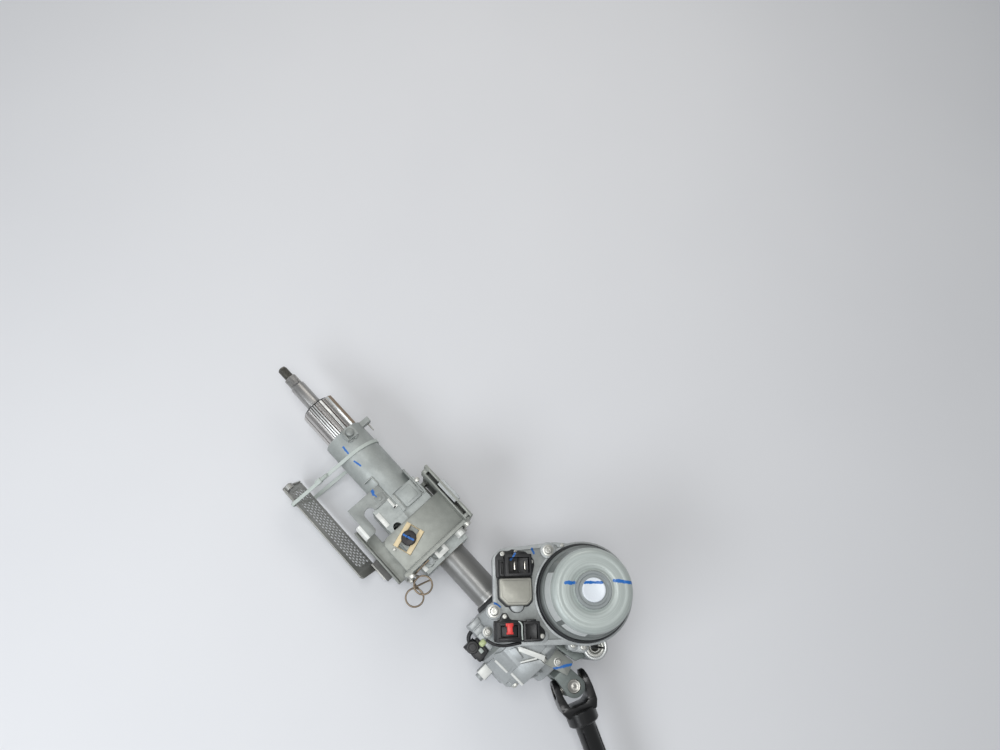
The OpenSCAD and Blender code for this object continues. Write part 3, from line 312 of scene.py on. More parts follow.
def make_finishes():
    along = (0.08, 1, 1)
    MATS.update(
        jacket=finish(
            "jacket casting", (166, 171, 168), 0.3, 0.5, 520, depth=0.05, edge=0.7, spread=0.08, wear=0.4,
            strokes=[((121.5, -11.5), (131.3, -12), 2.0), ((144.2, -12.9), (154, -11), 1.6)],
        ),
        casting=finish(
            "gear casting", (168, 172, 172), 0.35, 0.46, 480, depth=0.04, edge=0.6, wear=0.55, wear_colour=(226, 228, 226),
            strokes=[((370.8, 65.4), (375.6, 63.9), 2.4), ((384.4, -8.4), (391.4, -6.2), 2.2), ((480.4, 31.5), (488.3, 39.5), 2.4)],
        ),
        machined=finish("machined face", (214, 216, 214), 0.6, 0.32, 900, stretch=(1, 0.1, 1), depth=0.004, edge=0.3),
        nose=finish("turned nose", (196, 193, 190), 1.0, 0.24, 1600, stretch=(0.02, 1, 1), depth=0.0, edge=0.15, spread=0.1),
        # milled face: real machined faces, and also the white of painted highlights on the drum's ridges and on the
        # stop plate's bent foot
        milled=finish("milled face", (224, 225, 220), 0.15, 0.42, 700, stretch=(1, 0.1, 1), depth=0.002, edge=0.15, spread=0.04),
        # nose groove: dark colour of the strips on the groove floors, painted shade
        groove=finish("nose groove painted shade", (74, 66, 62), 0.8, 0.4, 700, stretch=(0.05, 1, 1), depth=0.0, edge=0.1),
        arm=finish("lever arm steel", (92, 92, 90), 0.4, 0.5, 300, depth=0.02, edge=0.4),
        rail=finish("key rail", (150, 132, 112), 0.6, 0.42, 700, depth=0.02),
        shaft=finish("ground shaft", (170, 169, 167), 0.9, 0.36, 1500, stretch=(1, 0.2, 0.2), depth=0, spread=0.03),
        thread=finish("dark thread", (120, 118, 112), 0.9, 0.38, 900, depth=0.01),
        tube=finish("oiled steel tube", (134, 134, 132), 0.7, 0.4, 1200, stretch=along, depth=0.004, spread=0.1),
        zinc=finish(
            "zinc sheet", (142, 145, 139), 0.4, 0.46, 130, depth=0.006, edge=0.5, spread=0.1, wear=0.35,
            strokes=[((486.6, -4.4), (497.7, 13.5), 2.6)],
        ),
        hook=finish(
            "stop plate sheet", (146, 150, 147), 0.35, 0.48, 420, depth=0.012, edge=0.5, spread=0.08, wear=0.5,
            strokes=[((185.6, -20.6), (192, -23.2), 3.2), ((191.5, -22.8), (196.5, -22.4), 1.2)],
        ),
        lever=finish("plated lever sheet", (158, 158, 154), 0.55, 0.42, 380, depth=0.006, edge=0.2, spread=0.1),
        cream=finish("cream bearing plastic", (232, 212, 170), 0.0, 0.42, 500, depth=0.01, edge=0.3, spread=0.06),
        bolt=finish(
            "black bolt", (52, 50, 50), 0.4, 0.45, 700, depth=0.01, edge=0.3,
            strokes=[((254, -29.6), (266.4, -25.6), 2.0)],
        ),
        spring=finish("drawn spring wire", (142, 128, 110), 0.9, 0.34, 900, depth=0.006, edge=0.1),
        nylon=finish("nylon tie", (188, 196, 190), 0.0, 0.42, 400, depth=0.006, edge=0.2, spread=0.05),
        can=finish(
            "motor can coat", (180, 188, 184), 0.2, 0.4, 260, depth=0.004, edge=0.5, spread=0.09,
            rings=(MOTOR, (1, 1, 0), 560.0, 0.75), coat=0.15,
            strokes=[((420.4, 57.6), (427.2, 64.8), 3.2), ((456.4, 98.7), (473.9, 113.5), 3.2)],
        ),
        # motor wall: the can colour made darker, painted shade on the can's side away from the lamps
        wall=finish("motor wall", (128, 133, 131), 0.4, 0.42, 300, depth=0.006, edge=0.4, spread=0.1),
        # unit floor: the gear casting colour made darker, painted shade on the floor inside the unit's rim
        floor=finish(
            "unit floor casting painted shade", (160, 164, 162), 0.35, 0.5, 420, depth=0.03, edge=0.3,
            strokes=[((370.8, 65.4), (375.6, 63.9), 2.4), ((384.4, -8.4), (391.4, -6.2), 2.2)],
        ),
        ring=finish("motor boss ring", (150, 156, 156), 0.4, 0.38, 300, depth=0.008, rings=(MOTOR, (1, 1, 0), 560.0, 0.5)),
        cap=finish(
            "motor cap", (228, 234, 240), 0.0, 0.3, 200, depth=0.004, spread=0.03, strokes=[((432.1, 70), (455.7, 95), 2.6)],
        ),
        label=finish("bare label", (206, 210, 208), 0.0, 0.45, 200, depth=0.002, edge=0.1, spread=0.04),
        rubber=finish("black rubber", (34, 36, 38), 0.0, 0.5, 400, depth=0.02, edge=0.4),
        socket=finish(
            "black connector plastic", (19, 20, 22), 0.0, 0.44, 600, depth=0.015, edge=0.3, spread=0.15, coat=0.05,
            strokes=[((360.4, 45.4), (362.4, 38.2), 1.8)],
        ),
        lock=finish("red lock plastic", (224, 66, 62), 0.0, 0.4, 500, depth=0.008, edge=0.2, spread=0.05),
        lid=finish("control unit lid", (170, 169, 159), 0.3, 0.46, 260, depth=0.01, edge=0.6, spread=0.06),
        bright=finish("plated screw", (196, 196, 190), 0.7, 0.36, 700, depth=0.008, edge=0.2),
        blade=finish("tinned blade", (214, 210, 200), 1.0, 0.22, 700, depth=0.004, edge=0.1),
        yoke=finish("phosphated forging", (112, 119, 116), 0.4, 0.48, 420, depth=0.05, edge=0.6, wear=0.3, wear_colour=(150, 154, 150)),
        cup=finish("bearing cup", (176, 174, 168), 0.8, 0.36, 500, depth=0.02, edge=0.3, spread=0.12),
        black=finish("black joint paint", (13, 13, 14), 0.0, 0.34, 260, depth=0.03, edge=0.8, spread=0.2, coat=0.25),
        green=finish("yellow-green clip", (190, 202, 150), 0.0, 0.4, 400, depth=0.01, edge=0.3, spread=0.06),
        bronze=finish("bearing bronze", (160, 132, 84), 0.9, 0.34, 700, depth=0.01),
        copper=finish("wound copper", (168, 92, 48), 0.9, 0.34, 900, stretch=(1, 1, 6), depth=0.05),
        board=finish("board lacquer", (34, 92, 58), 0.0, 0.36, 500, depth=0.01),
        dark=finish("dark cavity", (40, 42, 44), 0.3, 0.6, 400, depth=0.02),
    )


CAD_FINISH = {
    "upper_shaft": "shaft", "nose_tube": "nose", "upper_bearing": "cup", "jacket": "jacket", "lock_bolt": "bright",
    "stop_plate": "hook", "nose_ring": "dark", "cable_tie": "nylon", "telescope_bush": "cream",
    "cheek_bracket": "zinc", "mounting_flange": "zinc", "end_plate": "zinc", "release_capsules": "casting",
    "balance_spring": "spring", "clamp_bolt": "bolt", "tilt_bush": "cream", "pressure_cam": "bright",
    "rotating_cam": "yoke", "thrust_washer": "bright", "clamp_nut": "bright", "lever_arm": "arm",
    "lever_panel": "lever", "lower_tube": "tube", "tube_seal": "rubber", "sensor_housing": "casting",
    "gear_housing": "casting", "gear_cover": "casting", "worm_plug": "dark", "pivot_bush": "machined",
    "output_plate": "zinc", "output_bearing": "cup", "input_bearing": "cup", "sensor_coil": "copper",
    "sensor_plug": "socket", "sensor_lead": "rubber", "housing_screws": "bright", "lower_shaft": "shaft",
    "torsion_bar": "shaft", "sensor_rotor": "dark", "wheel_hub": "yoke", "worm_wheel": "cream",
    "output_shaft": "yoke", "worm": "cup", "worm_bearings": "cup", "rotor": "dark", "stator": "copper",
    "motor_can": "can", "motor_seal": "rubber", "motor_cap": "cap", "unit_base": "casting", "unit_lid": "lid",
    "circuit_board": "board", "power_socket": "socket", "signal_socket": "socket", "unit_screws": "bright",
    "upper_cross": "cup", "slide_tube": "black", "slide_shaft": "black", "lower_cross": "cup", "lower_yoke": "yoke",
}


def dress_nodes():
    for name, key in CAD_FINISH.items():
        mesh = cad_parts[name].data
        mesh.materials.clear()
        mesh.materials.append(MATS[key])


def light_room():
    world = bpy.data.worlds.new("studio")
    bpy.context.scene.world = world
    world.use_nodes = True
    tree = world.node_tree
    back = tree.nodes["Background"]
    path = tree.nodes.new("ShaderNodeLightPath")
    seen = calc(tree, "MAXIMUM", path.outputs["Is Camera Ray"], path.outputs["Is Transmission Ray"])
    back.inputs["Color"].default_value = tone(244, 247, 250)
    tree.links.new(ramp(tree, seen, 0.0, 1.0, 0.34, 1.0), back.inputs["Strength"])
    softbox("overhead", (0.3, -0.15, 1.7), (0.35, 0, 0), (1.1, 0.5), 10)
    softbox("near window", (0.15, -1.2, 1.05), (0.35, 0, 0), (1.1, 0.6), 11, (246, 250, 255))
    softbox("far fill", (-0.5, 0.9, 1.0), (0.4, 0, 0), (0.9, 0.7), 4, (255, 250, 244))


def floor():
    bm = bmesh.new()
    bmesh.ops.create_grid(bm, x_segments=2, y_segments=2, size=6)
    bmesh.ops.translate(bm, verts=bm.verts, vec=(0.35, 0, FLOOR_Z * MM - 0.0005))
    mesh = bpy.data.meshes.new("floor")
    bm.to_mesh(mesh)
    bm.free()
    mat = bpy.data.materials.new("pale floor")
    mat.use_nodes = True
    tree = mat.node_tree
    shader = tree.nodes["Principled BSDF"]
    cloud = put(tree, "ShaderNodeTexNoise", Vector=tree.nodes.new("ShaderNodeTexCoord").outputs["Object"], Scale=2.0, Detail=4.0)
    tree.links.new(
        blend_colour(tree, cloud.outputs[0], tone(222, 223, 226), tone(232, 233, 235)), shader.inputs["Base Color"]
    )
    shader.inputs["Roughness"].default_value = 0.8
    mesh.materials.append(mat)
    obj = bpy.data.objects.new("floor", mesh)
    bpy.context.collection.objects.link(obj)


# Shapes


def smoothed(mesh, angle=35):
    mesh.shade_smooth()
    mesh.set_sharp_from_angle(angle=math.radians(angle))


def piece(name, bm, body, key, replaces=(), angle=35):
    """Turns a shape in millimetres into a piece that rides on a body, or is left free when no body is given."""
    bmesh.ops.scale(bm, vec=(MM, MM, MM), verts=bm.verts)
    bmesh.ops.recalc_face_normals(bm, faces=bm.faces)
    mesh = bpy.data.meshes.new(name)
    bm.to_mesh(mesh)
    bm.free()
    smoothed(mesh, angle)
    mesh.materials.append(MATS[key])
    obj = bpy.data.objects.new(name, mesh)
    bpy.context.collection.objects.link(obj)
    if body:
        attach(obj, body)
    if replaces:
        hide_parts(*replaces)
    return obj


def moved(bm, matrix):
    bmesh.ops.transform(bm, matrix=matrix, verts=bm.verts)
    return bm


def shifted(bm, x=0.0, y=0.0, z=0.0):
    return moved(bm, Matrix.Translation((x, y, z)))


def turned(bm, degrees, axis, about=(0, 0, 0)):
    spot = Matrix.Translation(about)
    return moved(bm, spot @ Matrix.Rotation(math.radians(degrees), 4, axis) @ spot.inverted())


def soften(bm, width, steps=2, angle=30):
    """Rounds the edges that turn by more than angle."""
    bmesh.ops.recalc_face_normals(bm, faces=bm.faces)
    edges = [e for e in bm.edges if len(e.link_faces) == 2 and e.calc_face_angle(0) > math.radians(angle)]
    if edges and width:
        bmesh.ops.bevel(
            bm, geom=edges, offset=width, offset_type="OFFSET", segments=steps, profile=0.5, affect="EDGES",
            clamp_overlap=True, material=-1,
        )
    return bm


def joined(*shapes):
    bm = bmesh.new()
    for shape in shapes:
        mesh = bpy.data.meshes.new("part")
        shape.to_mesh(mesh)
        shape.free()
        bm.from_mesh(mesh)
        bpy.data.meshes.remove(mesh)
    return bm


def carved(bm, *cutters, way="DIFFERENCE"):
    """One closed shape cut by, or grown together with, others."""
    made = []
    for shape in (bm, *cutters):
        bmesh.ops.recalc_face_normals(shape, faces=shape.faces)
        mesh = bpy.data.meshes.new("carve")
        shape.to_mesh(mesh)
        shape.free()
        obj = bpy.data.objects.new("carve", mesh)
        bpy.context.collection.objects.link(obj)
        made.append(obj)
    for cutter in made[1:]:
        step = made[0].modifiers.new("step", "BOOLEAN")
        step.operation, step.solver, step.object = way, "EXACT", cutter
    done = bmesh.new()
    graph = bpy.context.evaluated_depsgraph_get()
    done.from_mesh(made[0].evaluated_get(graph).data)
    for obj in made:
        mesh = obj.data
        bpy.data.objects.remove(obj)
        bpy.data.meshes.remove(mesh)
    return done


def block(low, high, soft=0.6, steps=2):
    bm = bmesh.new()
    bmesh.ops.create_cube(bm, size=1)
    size, middle = Vector(high) - Vector(low), (Vector(high) + Vector(low)) / 2
    bmesh.ops.scale(bm, vec=size, verts=bm.verts)
    bmesh.ops.translate(bm, vec=middle, verts=bm.verts)
    return soften(bm, soft, steps)


def bar(start, end, radius, soft=0.4, sides=32, end_radius=None, steps=2):
    """A round bar between two points."""
    start, end = Vector(start), Vector(end)
    bm = bmesh.new()
    bmesh.ops.create_cone(
        bm, cap_ends=True, segments=sides, radius1=radius, radius2=radius if end_radius is None else end_radius,
        depth=(end - start).length,
    )
    soften(bm, soft, steps, 50)
    aim = (end - start).to_track_quat("Z", "Y").to_matrix().to_4x4()
    return moved(bm, Matrix.Translation((start + end) / 2) @ aim)


def prism(points, low, high, soft=0.8, steps=2, axis="Z"):
    """A flat outline drawn out from low to high along an axis."""
    bm = bmesh.new()
    face = bm.faces.new([bm.verts.new((x, y, low)) for x, y in points])
    grown = bmesh.ops.extrude_face_region(bm, geom=[face])
    bmesh.ops.translate(bm, vec=(0, 0, high - low), verts=[v for v in grown["geom"] if isinstance(v, bmesh.types.BMVert)])
    if axis == "X":  # outline given as (Y, Z)
        moved(bm, Matrix(((0, 0, 1, 0), (1, 0, 0, 0), (0, 1, 0, 0), (0, 0, 0, 1))))
    if axis == "Y":  # outline given as (X, Z)
        moved(bm, Matrix(((1, 0, 0, 0), (0, 0, 1, 0), (0, 1, 0, 0), (0, 0, 0, 1))))
    return soften(bm, soft, steps)


def spun(profile, steps=64, axis="X", sweep=360, start=0):
    """Points (along, radius) spun about an axis through the origin; a profile that leaves the axis is closed on itself."""
    bm = bmesh.new()
    verts = [bm.verts.new((along, 0, radius)) for along, radius in profile]
    on_axis = profile[0][1] == 0 and profile[-1][1] == 0
    pairs = list(zip(verts, verts[1:])) + ([] if on_axis else [(verts[-1], verts[0])])
    edges = [bm.edges.new(pair) for pair in pairs]
    if start:
        turned(bm, start, "X")
    whole = sweep == 360
    if not whole:
        bm.faces.new(verts)
    bmesh.ops.spin(
        bm, geom=verts + edges + list(bm.faces), cent=(0, 0, 0), axis=(1, 0, 0), angle=math.radians(sweep), steps=steps,
        use_merge=whole,
    )
    bmesh.ops.remove_doubles(bm, verts=bm.verts, dist=0.001)
    if axis == "Z":
        turned(bm, -90, "Y")
    return bm


def arc(centre, radius, first, last, steps=6):
    """Points of an arc, for a profile or an outline; angles in degrees."""
    return [
        (
            centre[0] + radius * math.cos(math.radians(first + (last - first) * i / steps)),
            centre[1] + radius * math.sin(math.radians(first + (last - first) * i / steps)),
        )
        for i in range(steps + 1)
    ]


def rounded(corners, radius, steps=5):
    """An outline with each corner rounded."""
    made = []
    for before, here, after in zip(corners[-1:] + corners[:-1], corners, corners[1:] + corners[:1]):
        here = Vector(here)
        a, b = (Vector(before) - here), (Vector(after) - here)
        reach = min(radius, a.length / 2.2, b.length / 2.2)
        p, q = here + a.normalized() * reach, here + b.normalized() * reach
        for i in range(steps + 1):
            t = i / steps
            made.append(tuple(p * (1 - t) ** 2 + here * 2 * t * (1 - t) + q * t**2))
    return made


def belt(rounds, extra, steps=72):
    """Outline drawn tight round circles given as (centre, radius)."""
    spots = sorted(
        (c[0] + (r + extra) * math.cos(2 * math.pi * k / steps), c[1] + (r + extra) * math.sin(2 * math.pi * k / steps))
        for c, r in rounds for k in range(steps)
    )

    def half(points):
        kept = []
        for p in points:
            while len(kept) > 1 and (
                (kept[-1][0] - kept[-2][0]) * (p[1] - kept[-2][1]) <= (kept[-1][1] - kept[-2][1]) * (p[0] - kept[-2][0])
            ):
                kept.pop()
            kept.append(p)
        return kept[:-1]

    return half(spots) + half(spots[::-1])


def hulled(points, soft=0.6, steps=2):
    """The convex shape round some points."""
    bm = bmesh.new()
    for point in points:
        bm.verts.new(point)
    found = bmesh.ops.convex_hull(bm, input=bm.verts)
    spare = {v for v in found["geom_interior"] + found["geom_unused"] if isinstance(v, bmesh.types.BMVert)}
    bmesh.ops.delete(bm, geom=list(spare), context="VERTS")
    bmesh.ops.dissolve_limit(bm, angle_limit=0.02, verts=bm.verts, edges=bm.edges)
    return soften(bm, soft, steps)


def crust(points, low, high, soft=0.6):
    """A pad on the drum: points (along, across) seen from above, between two radii."""
    rise = [(x, y, math.sqrt(high**2 - y**2)) for x, y in points]
    return hulled([(x, y * r / high, z * r / high) for x, y, z in rise for r in (low, high)], soft)


def wire(points, radius, sides=10, smooth=True):
    """A round wire along points, as a closed mesh."""
    curve = bpy.data.curves.new("wire", "CURVE")
    curve.dimensions, curve.bevel_depth, curve.bevel_resolution, curve.use_fill_caps = "3D", radius, sides // 4 + 1, True
    line = curve.splines.new("NURBS" if smooth else "POLY")
    line.points.add(len(points) - 1)
    for spot, point in zip(line.points, points):
        spot.co = (*point, 1)
    if smooth:
        line.order_u, line.use_endpoint_u, line.resolution_u = 3, True, 3
    obj = bpy.data.objects.new("wire", curve)
    bpy.context.collection.objects.link(obj)
    bm = bmesh.new()
    bm.from_mesh(obj.evaluated_get(bpy.context.evaluated_depsgraph_get()).to_mesh())
    bpy.data.objects.remove(obj)
    bpy.data.curves.remove(curve)
    bmesh.ops.remove_doubles(bm, verts=bm.verts, dist=0.0005)
    return bm


UNIT = Matrix.Translation(MOTOR) @ Matrix.Rotation(UNIT_TURN, 4, "Z")


def at_joint(along=0.0):
    """Place along the intermediate shaft, from the upper joint's centre."""
    return (
        Matrix.Translation((JOINT_X, 0, 0)) @ Matrix.Rotation(SWING, 4, "Z") @ Matrix.Rotation(PITCH, 4, "Y")
        @ Matrix.Translation((along, 0, 0))
    )


def star_screw(x, y, z, radius, height, washer=0.0):
    """A pan head with a six-lobed recess, upright on z."""
    shapes = []
    if washer:
        shapes.append(bar((x, y, z), (x, y, z + height * 0.25), washer, 0.2))
    head = bar((x, y, z), (x, y, z + height), radius, radius * 0.35, 28, steps=4)
    cuts = [bar((x, y, z + height * 0.4), (x, y, z + height + 1), radius * 0.38, 0, 12)]
    for k in range(6):
        a = math.radians(60 * k)
        spot = Vector((x + radius * 0.42 * math.cos(a), y + radius * 0.42 * math.sin(a), 0))
        cuts.append(bar((spot.x, spot.y, z + height * 0.4), (spot.x, spot.y, z + height + 1), radius * 0.13, 0, 8))
    shapes.append(carved(head, *cuts))
    return joined(*shapes)


def hex_head(x, y, z, across, height, washer=0.0, socket=0.0):
    head = soften(bar((x, y, z), (x, y, z + height), across / math.sqrt(3), 0, 6), across * 0.05, 2, 40)
    shapes = [head if not socket else carved(head, bar((x, y, z + height * 0.5), (x, y, z + height + 1), socket, 0, 6))]
    if washer:
        shapes.append(bar((x, y, z), (x, y, z + height * 0.22), washer, 0.25))
    return joined(*shapes)


# Steering shaft, nose and jacket


def steering_shaft():
    """Upper shaft: dark thread, serration, ground length and the sleeve hidden in the jacket."""
    crest, root, lead, turn_steps, turns = 5.95, 5.15, 1.5, 24, 10
    bm = bmesh.new()
    tooth = [bm.verts.new((-16 + a, 0, r)) for a, r in ((0, root), (0.55, crest), (0.8, crest), (lead, root))]
    edges = [bm.edges.new(pair) for pair in zip(tooth, tooth[1:])]
    bmesh.ops.spin(
        bm, geom=tooth + edges, cent=(0, 0, 0), axis=(1, 0, 0), dvec=(lead / turn_steps, 0, 0),
        angle=2 * math.pi * turns, steps=turn_steps * turns,
    )
    bmesh.ops.remove_doubles(bm, verts=bm.verts, dist=0.002)
    core = spun([(-17, 0), (-17, 4.3), (-16.3, 5.05), (-0.2, 5.05), (0.4, 6.6), (0.4, 0)], 40)
    piece("wheel_thread", joined(bm, core), "steering_shaft", "thread", angle=40)
    teeth = []
    for i in range(36):
        for share, radius in ((0.02, 8.0), (0.28, 8.0), (0.5, 7.3), (0.8, 7.3)):
            a = math.radians(10 * (i + share))
            teeth.append((radius * math.cos(a), radius * math.sin(a)))
    serration = prism(teeth, 0.6, 13.4, 0, axis="X")
    body = spun(
        [(0.4, 0), (0.4, 6.8), (0.8, 7.3), (13.2, 7.35), (14.5, 8.2), (15.2, 9.15), (16.2, 9.5), (48.5, 9.5), (48.8, 9.1),
         (50.2, 9.1), (50.5, 9.5), (131, 9.5), (131.6, 11.5), (230.4, 11.5), (231, 11), (231, 8.1), (133, 8.1), (133, 0)],
        64,
    )
    piece("shaft_serration", joined(serration), "steering_shaft", "shaft", angle=25)
    piece("upper_shaft_body", body, "steering_shaft", "shaft", ("upper_shaft",))


def nose():
    """Bright turned nose with long flats and the key rail on the motor's side."""
    ring = spun(
        [(55, 19.2), (55, 20.9), (56.1, 22), (105.9, 22), (141, 21.95), (141, 19), (57, 19)], 96
    )
    cuts = []
    lines = []
    for degrees, half in ((66, 0.9), (79, 0.6), (95.5, 0.75), (103, 0.75), (111, 0.75), (119, 0.75), (152, 0.6)):
        cuts.append(turned(block((54, -half, 21.1), (104.8, half, 23), 0.0), degrees - 90, "X"))
        lines.append(turned(block((55, -half, 20.6), (104.8, half, 21.3), 0.0), degrees - 90, "X"))
    body = carved(ring, *cuts)
    # Dark strips laid on the floor of each groove: painted shade, so the grooves read dark.
    piece("nose_groove_shade_strips", joined(*lines), "jacket", "groove")
    piece("nose_body", body, "jacket", "nose", ("nose_tube",), angle=20)
    ribs = [turned(block((55.2, -0.95, 21.5), (105.4, 0.95, 22.45), 0.25), d - 90, "X") for d in (99.3, 107.2, 115.2)]
    ribs.append(turned(block((55.2, -1.9, 21.5), (105.4, 1.9, 22.35), 0.3), -17, "X"))
    piece("nose_flats", joined(*ribs), "jacket", "machined")
    rail = turned(block((55.4, -4.4, 20.6), (104.8, 4.4, 24.4), 0.5), -55, "X")
    strip = turned(block((56, -3.4, 24.2), (104.2, 3.0, 24.9), 0.25), -55, "X")
    piece("nose_rail", rail, "jacket", "machined")
    piece("nose_rail_liner", strip, "jacket", "rail")
    lip = spun([(52.6, 9.9), (52.6, 17.8), (54.2, 18.9), (58.9, 18.9), (58.9, 9.9)], 64)
    piece("nose_lip_seal", lip, "jacket", "rubber", ("nose_ring",))


def lock():
    """Domed bolt on the jacket's front boss."""
    dome = spun([(30.6, 0), (30.6, 5.6), (33.6, 5.6), (34.9, 4.9), (35.5, 3.4), (35.7, 0)], 40, "Z")
    foot = bar((0, 0, 23.4), (0, 0, 31.4), 3, 0.3)
    clip = prism([(-8, -8), (8, -8), (8, -6), (-8, -6)], 30.4, 33.2, 0.3)
    bolt = joined(dome, foot, clip)
    moved(bolt, Matrix.Rotation(math.radians(-10), 4, "X") @ Matrix.Translation((114.5, 0, 0)))
    piece("lock_bolt_head", bolt, "jacket", "hook", ("lock_bolt",))
    boss = carved(
        prism(rounded([(-9.6, -9), (9.6, -9), (9.6, 9), (-9.6, 9)], 8), 24, 28.6, 0.9, 3),
        prism(rounded([(3, -2.2), (12, -2.2), (12, 2.2), (3, 2.2)], 1), 26, 30, 0), way="DIFFERENCE",
    )
    moved(boss, Matrix.Rotation(math.radians(-10), 4, "X") @ Matrix.Translation((115.2, 0, 0)))
    piece("lock_bolt_boss", boss, "jacket", "jacket")
    pin = bar((110.5, 33.5, 3), (125.5, 33.5, 3), 0.9, 0.2, 16)
    piece("lug_pin", pin, "jacket", "cup")


def jacket_details():
    """Raised border, pad and machined faces of the jacket's clamp block."""
    border = carved(
        prism(rounded([(173, -22), (187, -22), (187, -9.8), (173, -9.8)], 2), 18.0, 26.2, 0.3),
        prism(rounded([(174.6, -26), (190, -26), (190, -11.4), (174.6, -11.4)], 1.5), 17, 27, 0),
    )
    piece("jacket_emboss", border, "jacket", "jacket")
    pad = prism(rounded([(207.5, -3.5), (232, -3.5), (232, 21.5), (207.5, 21.5)], 3.5), 23.5, 27.2, 0.7)
    inner = prism(rounded([(211, 0.5), (228.5, 0.5), (228.5, 17.5), (211, 17.5)], 2), 26.6, 27.6, 0.3)
    piece("jacket_pad", joined(pad, inner), "jacket", "jacket")
    faces = [
        block((207.6, -15.5, 23.6), (222, -12.5, 26.6), 0.3), block((219.5, -15.5, 23.6), (222.2, -5.5, 26.6), 0.3),
        block((209, -8.2, 23.6), (222, -5.4, 26.8), 0.3), block((212.5, -38.3, 20), (236, -32.6, 25.2), 0.25),
    ]
    piece("block_machined_faces", joined(*faces), "jacket", "milled")
    notch = prism(
        [(286, -0.3), (303.4, -0.3), (303.4, -16.7), (286, -16.7), (286, -13), (298, -12.4), (297.4, -5.6), (286, -4.6)], 23.6, 27.9, 0.3
    )
    low = block((286, -39, 23.5), (303.9, -33.8, 27.9), 0.3)
    piece("block_end_lands", joined(notch, low), "jacket", "milled")
    skin = carved(
        prism([(286.8, -33.6), (303.4, -33.6), (303.4, -16.9), (286.8, -16.9)], 24, 27.7, 0.3), bar((297.4, -26.2, 20), (297.4, -26.2, 30), 4.6, 0, 40)
    )
    piece("block_end_skin", skin, "jacket", "jacket")
    strip = [block((193, 22.4, 4), (231, 24.8, 27.7), 0.5), block((219.5, 18, 23), (226.5, 25.6, 26.6), 0.6)]
    piece("block_side_strip", joined(*strip), "jacket", "hook")
    piece("block_side_stud", bar((214, 27.6, 22), (214, 27.6, 29.6), 3.2, 0.9, 32), "jacket", "bright")
    piece("block_end_hole", bar((297.4, -26.2, 24.1), (297.4, -26.2, 24.9), 5.0, 0, 32), "jacket", "casting")
    bolt = moved(hex_head(0, 0, 0, 10.5, 8, 6.6), Matrix.Translation((294.1, 22.5, 27)) @ Matrix.Rotation(math.pi / 2, 4, "Y"))
    piece("end_plate_bolt", bolt, "bracket", "milled")


def tie():
    """Nylon tie drawn round the jacket and the lever panel, with its ratchet head and ribbed tail."""
    lean, low = math.radians(58), Vector((-76, -56.3))
    high = low + Vector((-43 * math.cos(lean), 43 * math.sin(lean)))
    middle = Matrix.Translation((137, 0, 0)) @ Matrix.Rotation(math.radians(-6), 4, "Z")
    rounds = (((0, 0), 27.15), (high, 3.3), (low, 3.3))
    band = moved(carved(prism(belt(rounds, 1.2), -2.3, 2.3, 0.25, 1, "X"), prism(belt(rounds, 0), -4, 4, 0, axis="X")), middle)
    loop = carved(band.copy(), block((90, -160, -140), (190, -24, 60), 0))
    strands = carved(band, block((90, -24, -60), (190, 60, 60), 0))
    piece("transport_tie", loop, "jacket", "nylon")
    lift = math.atan2(27.1 - high.y, -high.x)
    top = Vector((high.x * 0.6, high.y * 0.6 + 28.4 * 0.4 + 3.6))
    head = joined(
        block((-3.4, -4.2, 0), (3.4, 4.2, 5.2), 0.6), block((-2.6, -5.2, 0.5), (2.6, -3.6, 3.2), 0.3),
        block((-2.2, -1, 2.6), (2.2, 13.5, 3.9), 0.3), *[block((-1.9, 5 + 1.1 * k, 3.8), (1.9, 5.5 + 1.1 * k, 4.2), 0.1) for k in range(7)],
    )
    moved(head, Matrix.Translation((0, top.x, top.y)) @ Matrix.Rotation(lift, 4, "X"))
    obj = piece("transport_tie_strands", joined(strands, moved(head, middle)), "jacket", "nylon", ("cable_tie",))
    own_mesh(obj)


# Bracket, clamp and lever


def bracket():
    """Dished upper cheek, lower cheek with its lip, and the weld beads."""
    turn = -TILT_SHARE

    def window(w, l, low, high):
        hole = prism([(-w / 2, -l / 2), (w / 2, -l / 2), (w / 2, l / 2), (-w / 2, l / 2)], low, high, 0)
        return moved(hole, Matrix.Translation(CLAMP) @ Matrix.Rotation(turn, 4, "Z"))

    outline = [(237, 42), (237, -46)] + arc((251, -46), 14, 180, 270, 8) + [(290, -60), (290, 42)]
    plate = prism(outline, 28, 31, 0.8, 3)
    rim = prism(
        [(242.5, 42), (242.5, -46)] + arc((251, -46), 8.5, 180, 270, 8) + [(290, -54.5), (290, 42)], 29.6, 32.2, 1.0, 3
    )
    upper = carved(carved(plate, rim, way="UNION"), window(24.1, 32.1, 20, 40))
    low_outline = [(237, 42), (237, -50), (205, -50), (205, -66), (290, -66), (290, 42)]
    lower = carved(prism(low_outline, -31, -28, 0.8, 3), window(12, 30, -40, -20))
    lip = block((205, -69, -31), (290, -66.2, -22), 0.7)
    piece("bracket_cheeks", joined(upper, lower, lip), "bracket", "zinc", ("cheek_bracket",))
    weld = [bar((291.5 - 1.6, y, 31.2), (291.5 - 1.6, y + 9, 31.2), 1.3, 0.5, 12) for y in (-52, -20, 12, 30)]
    piece("bracket_welds", joined(*weld), "bracket", "yoke")


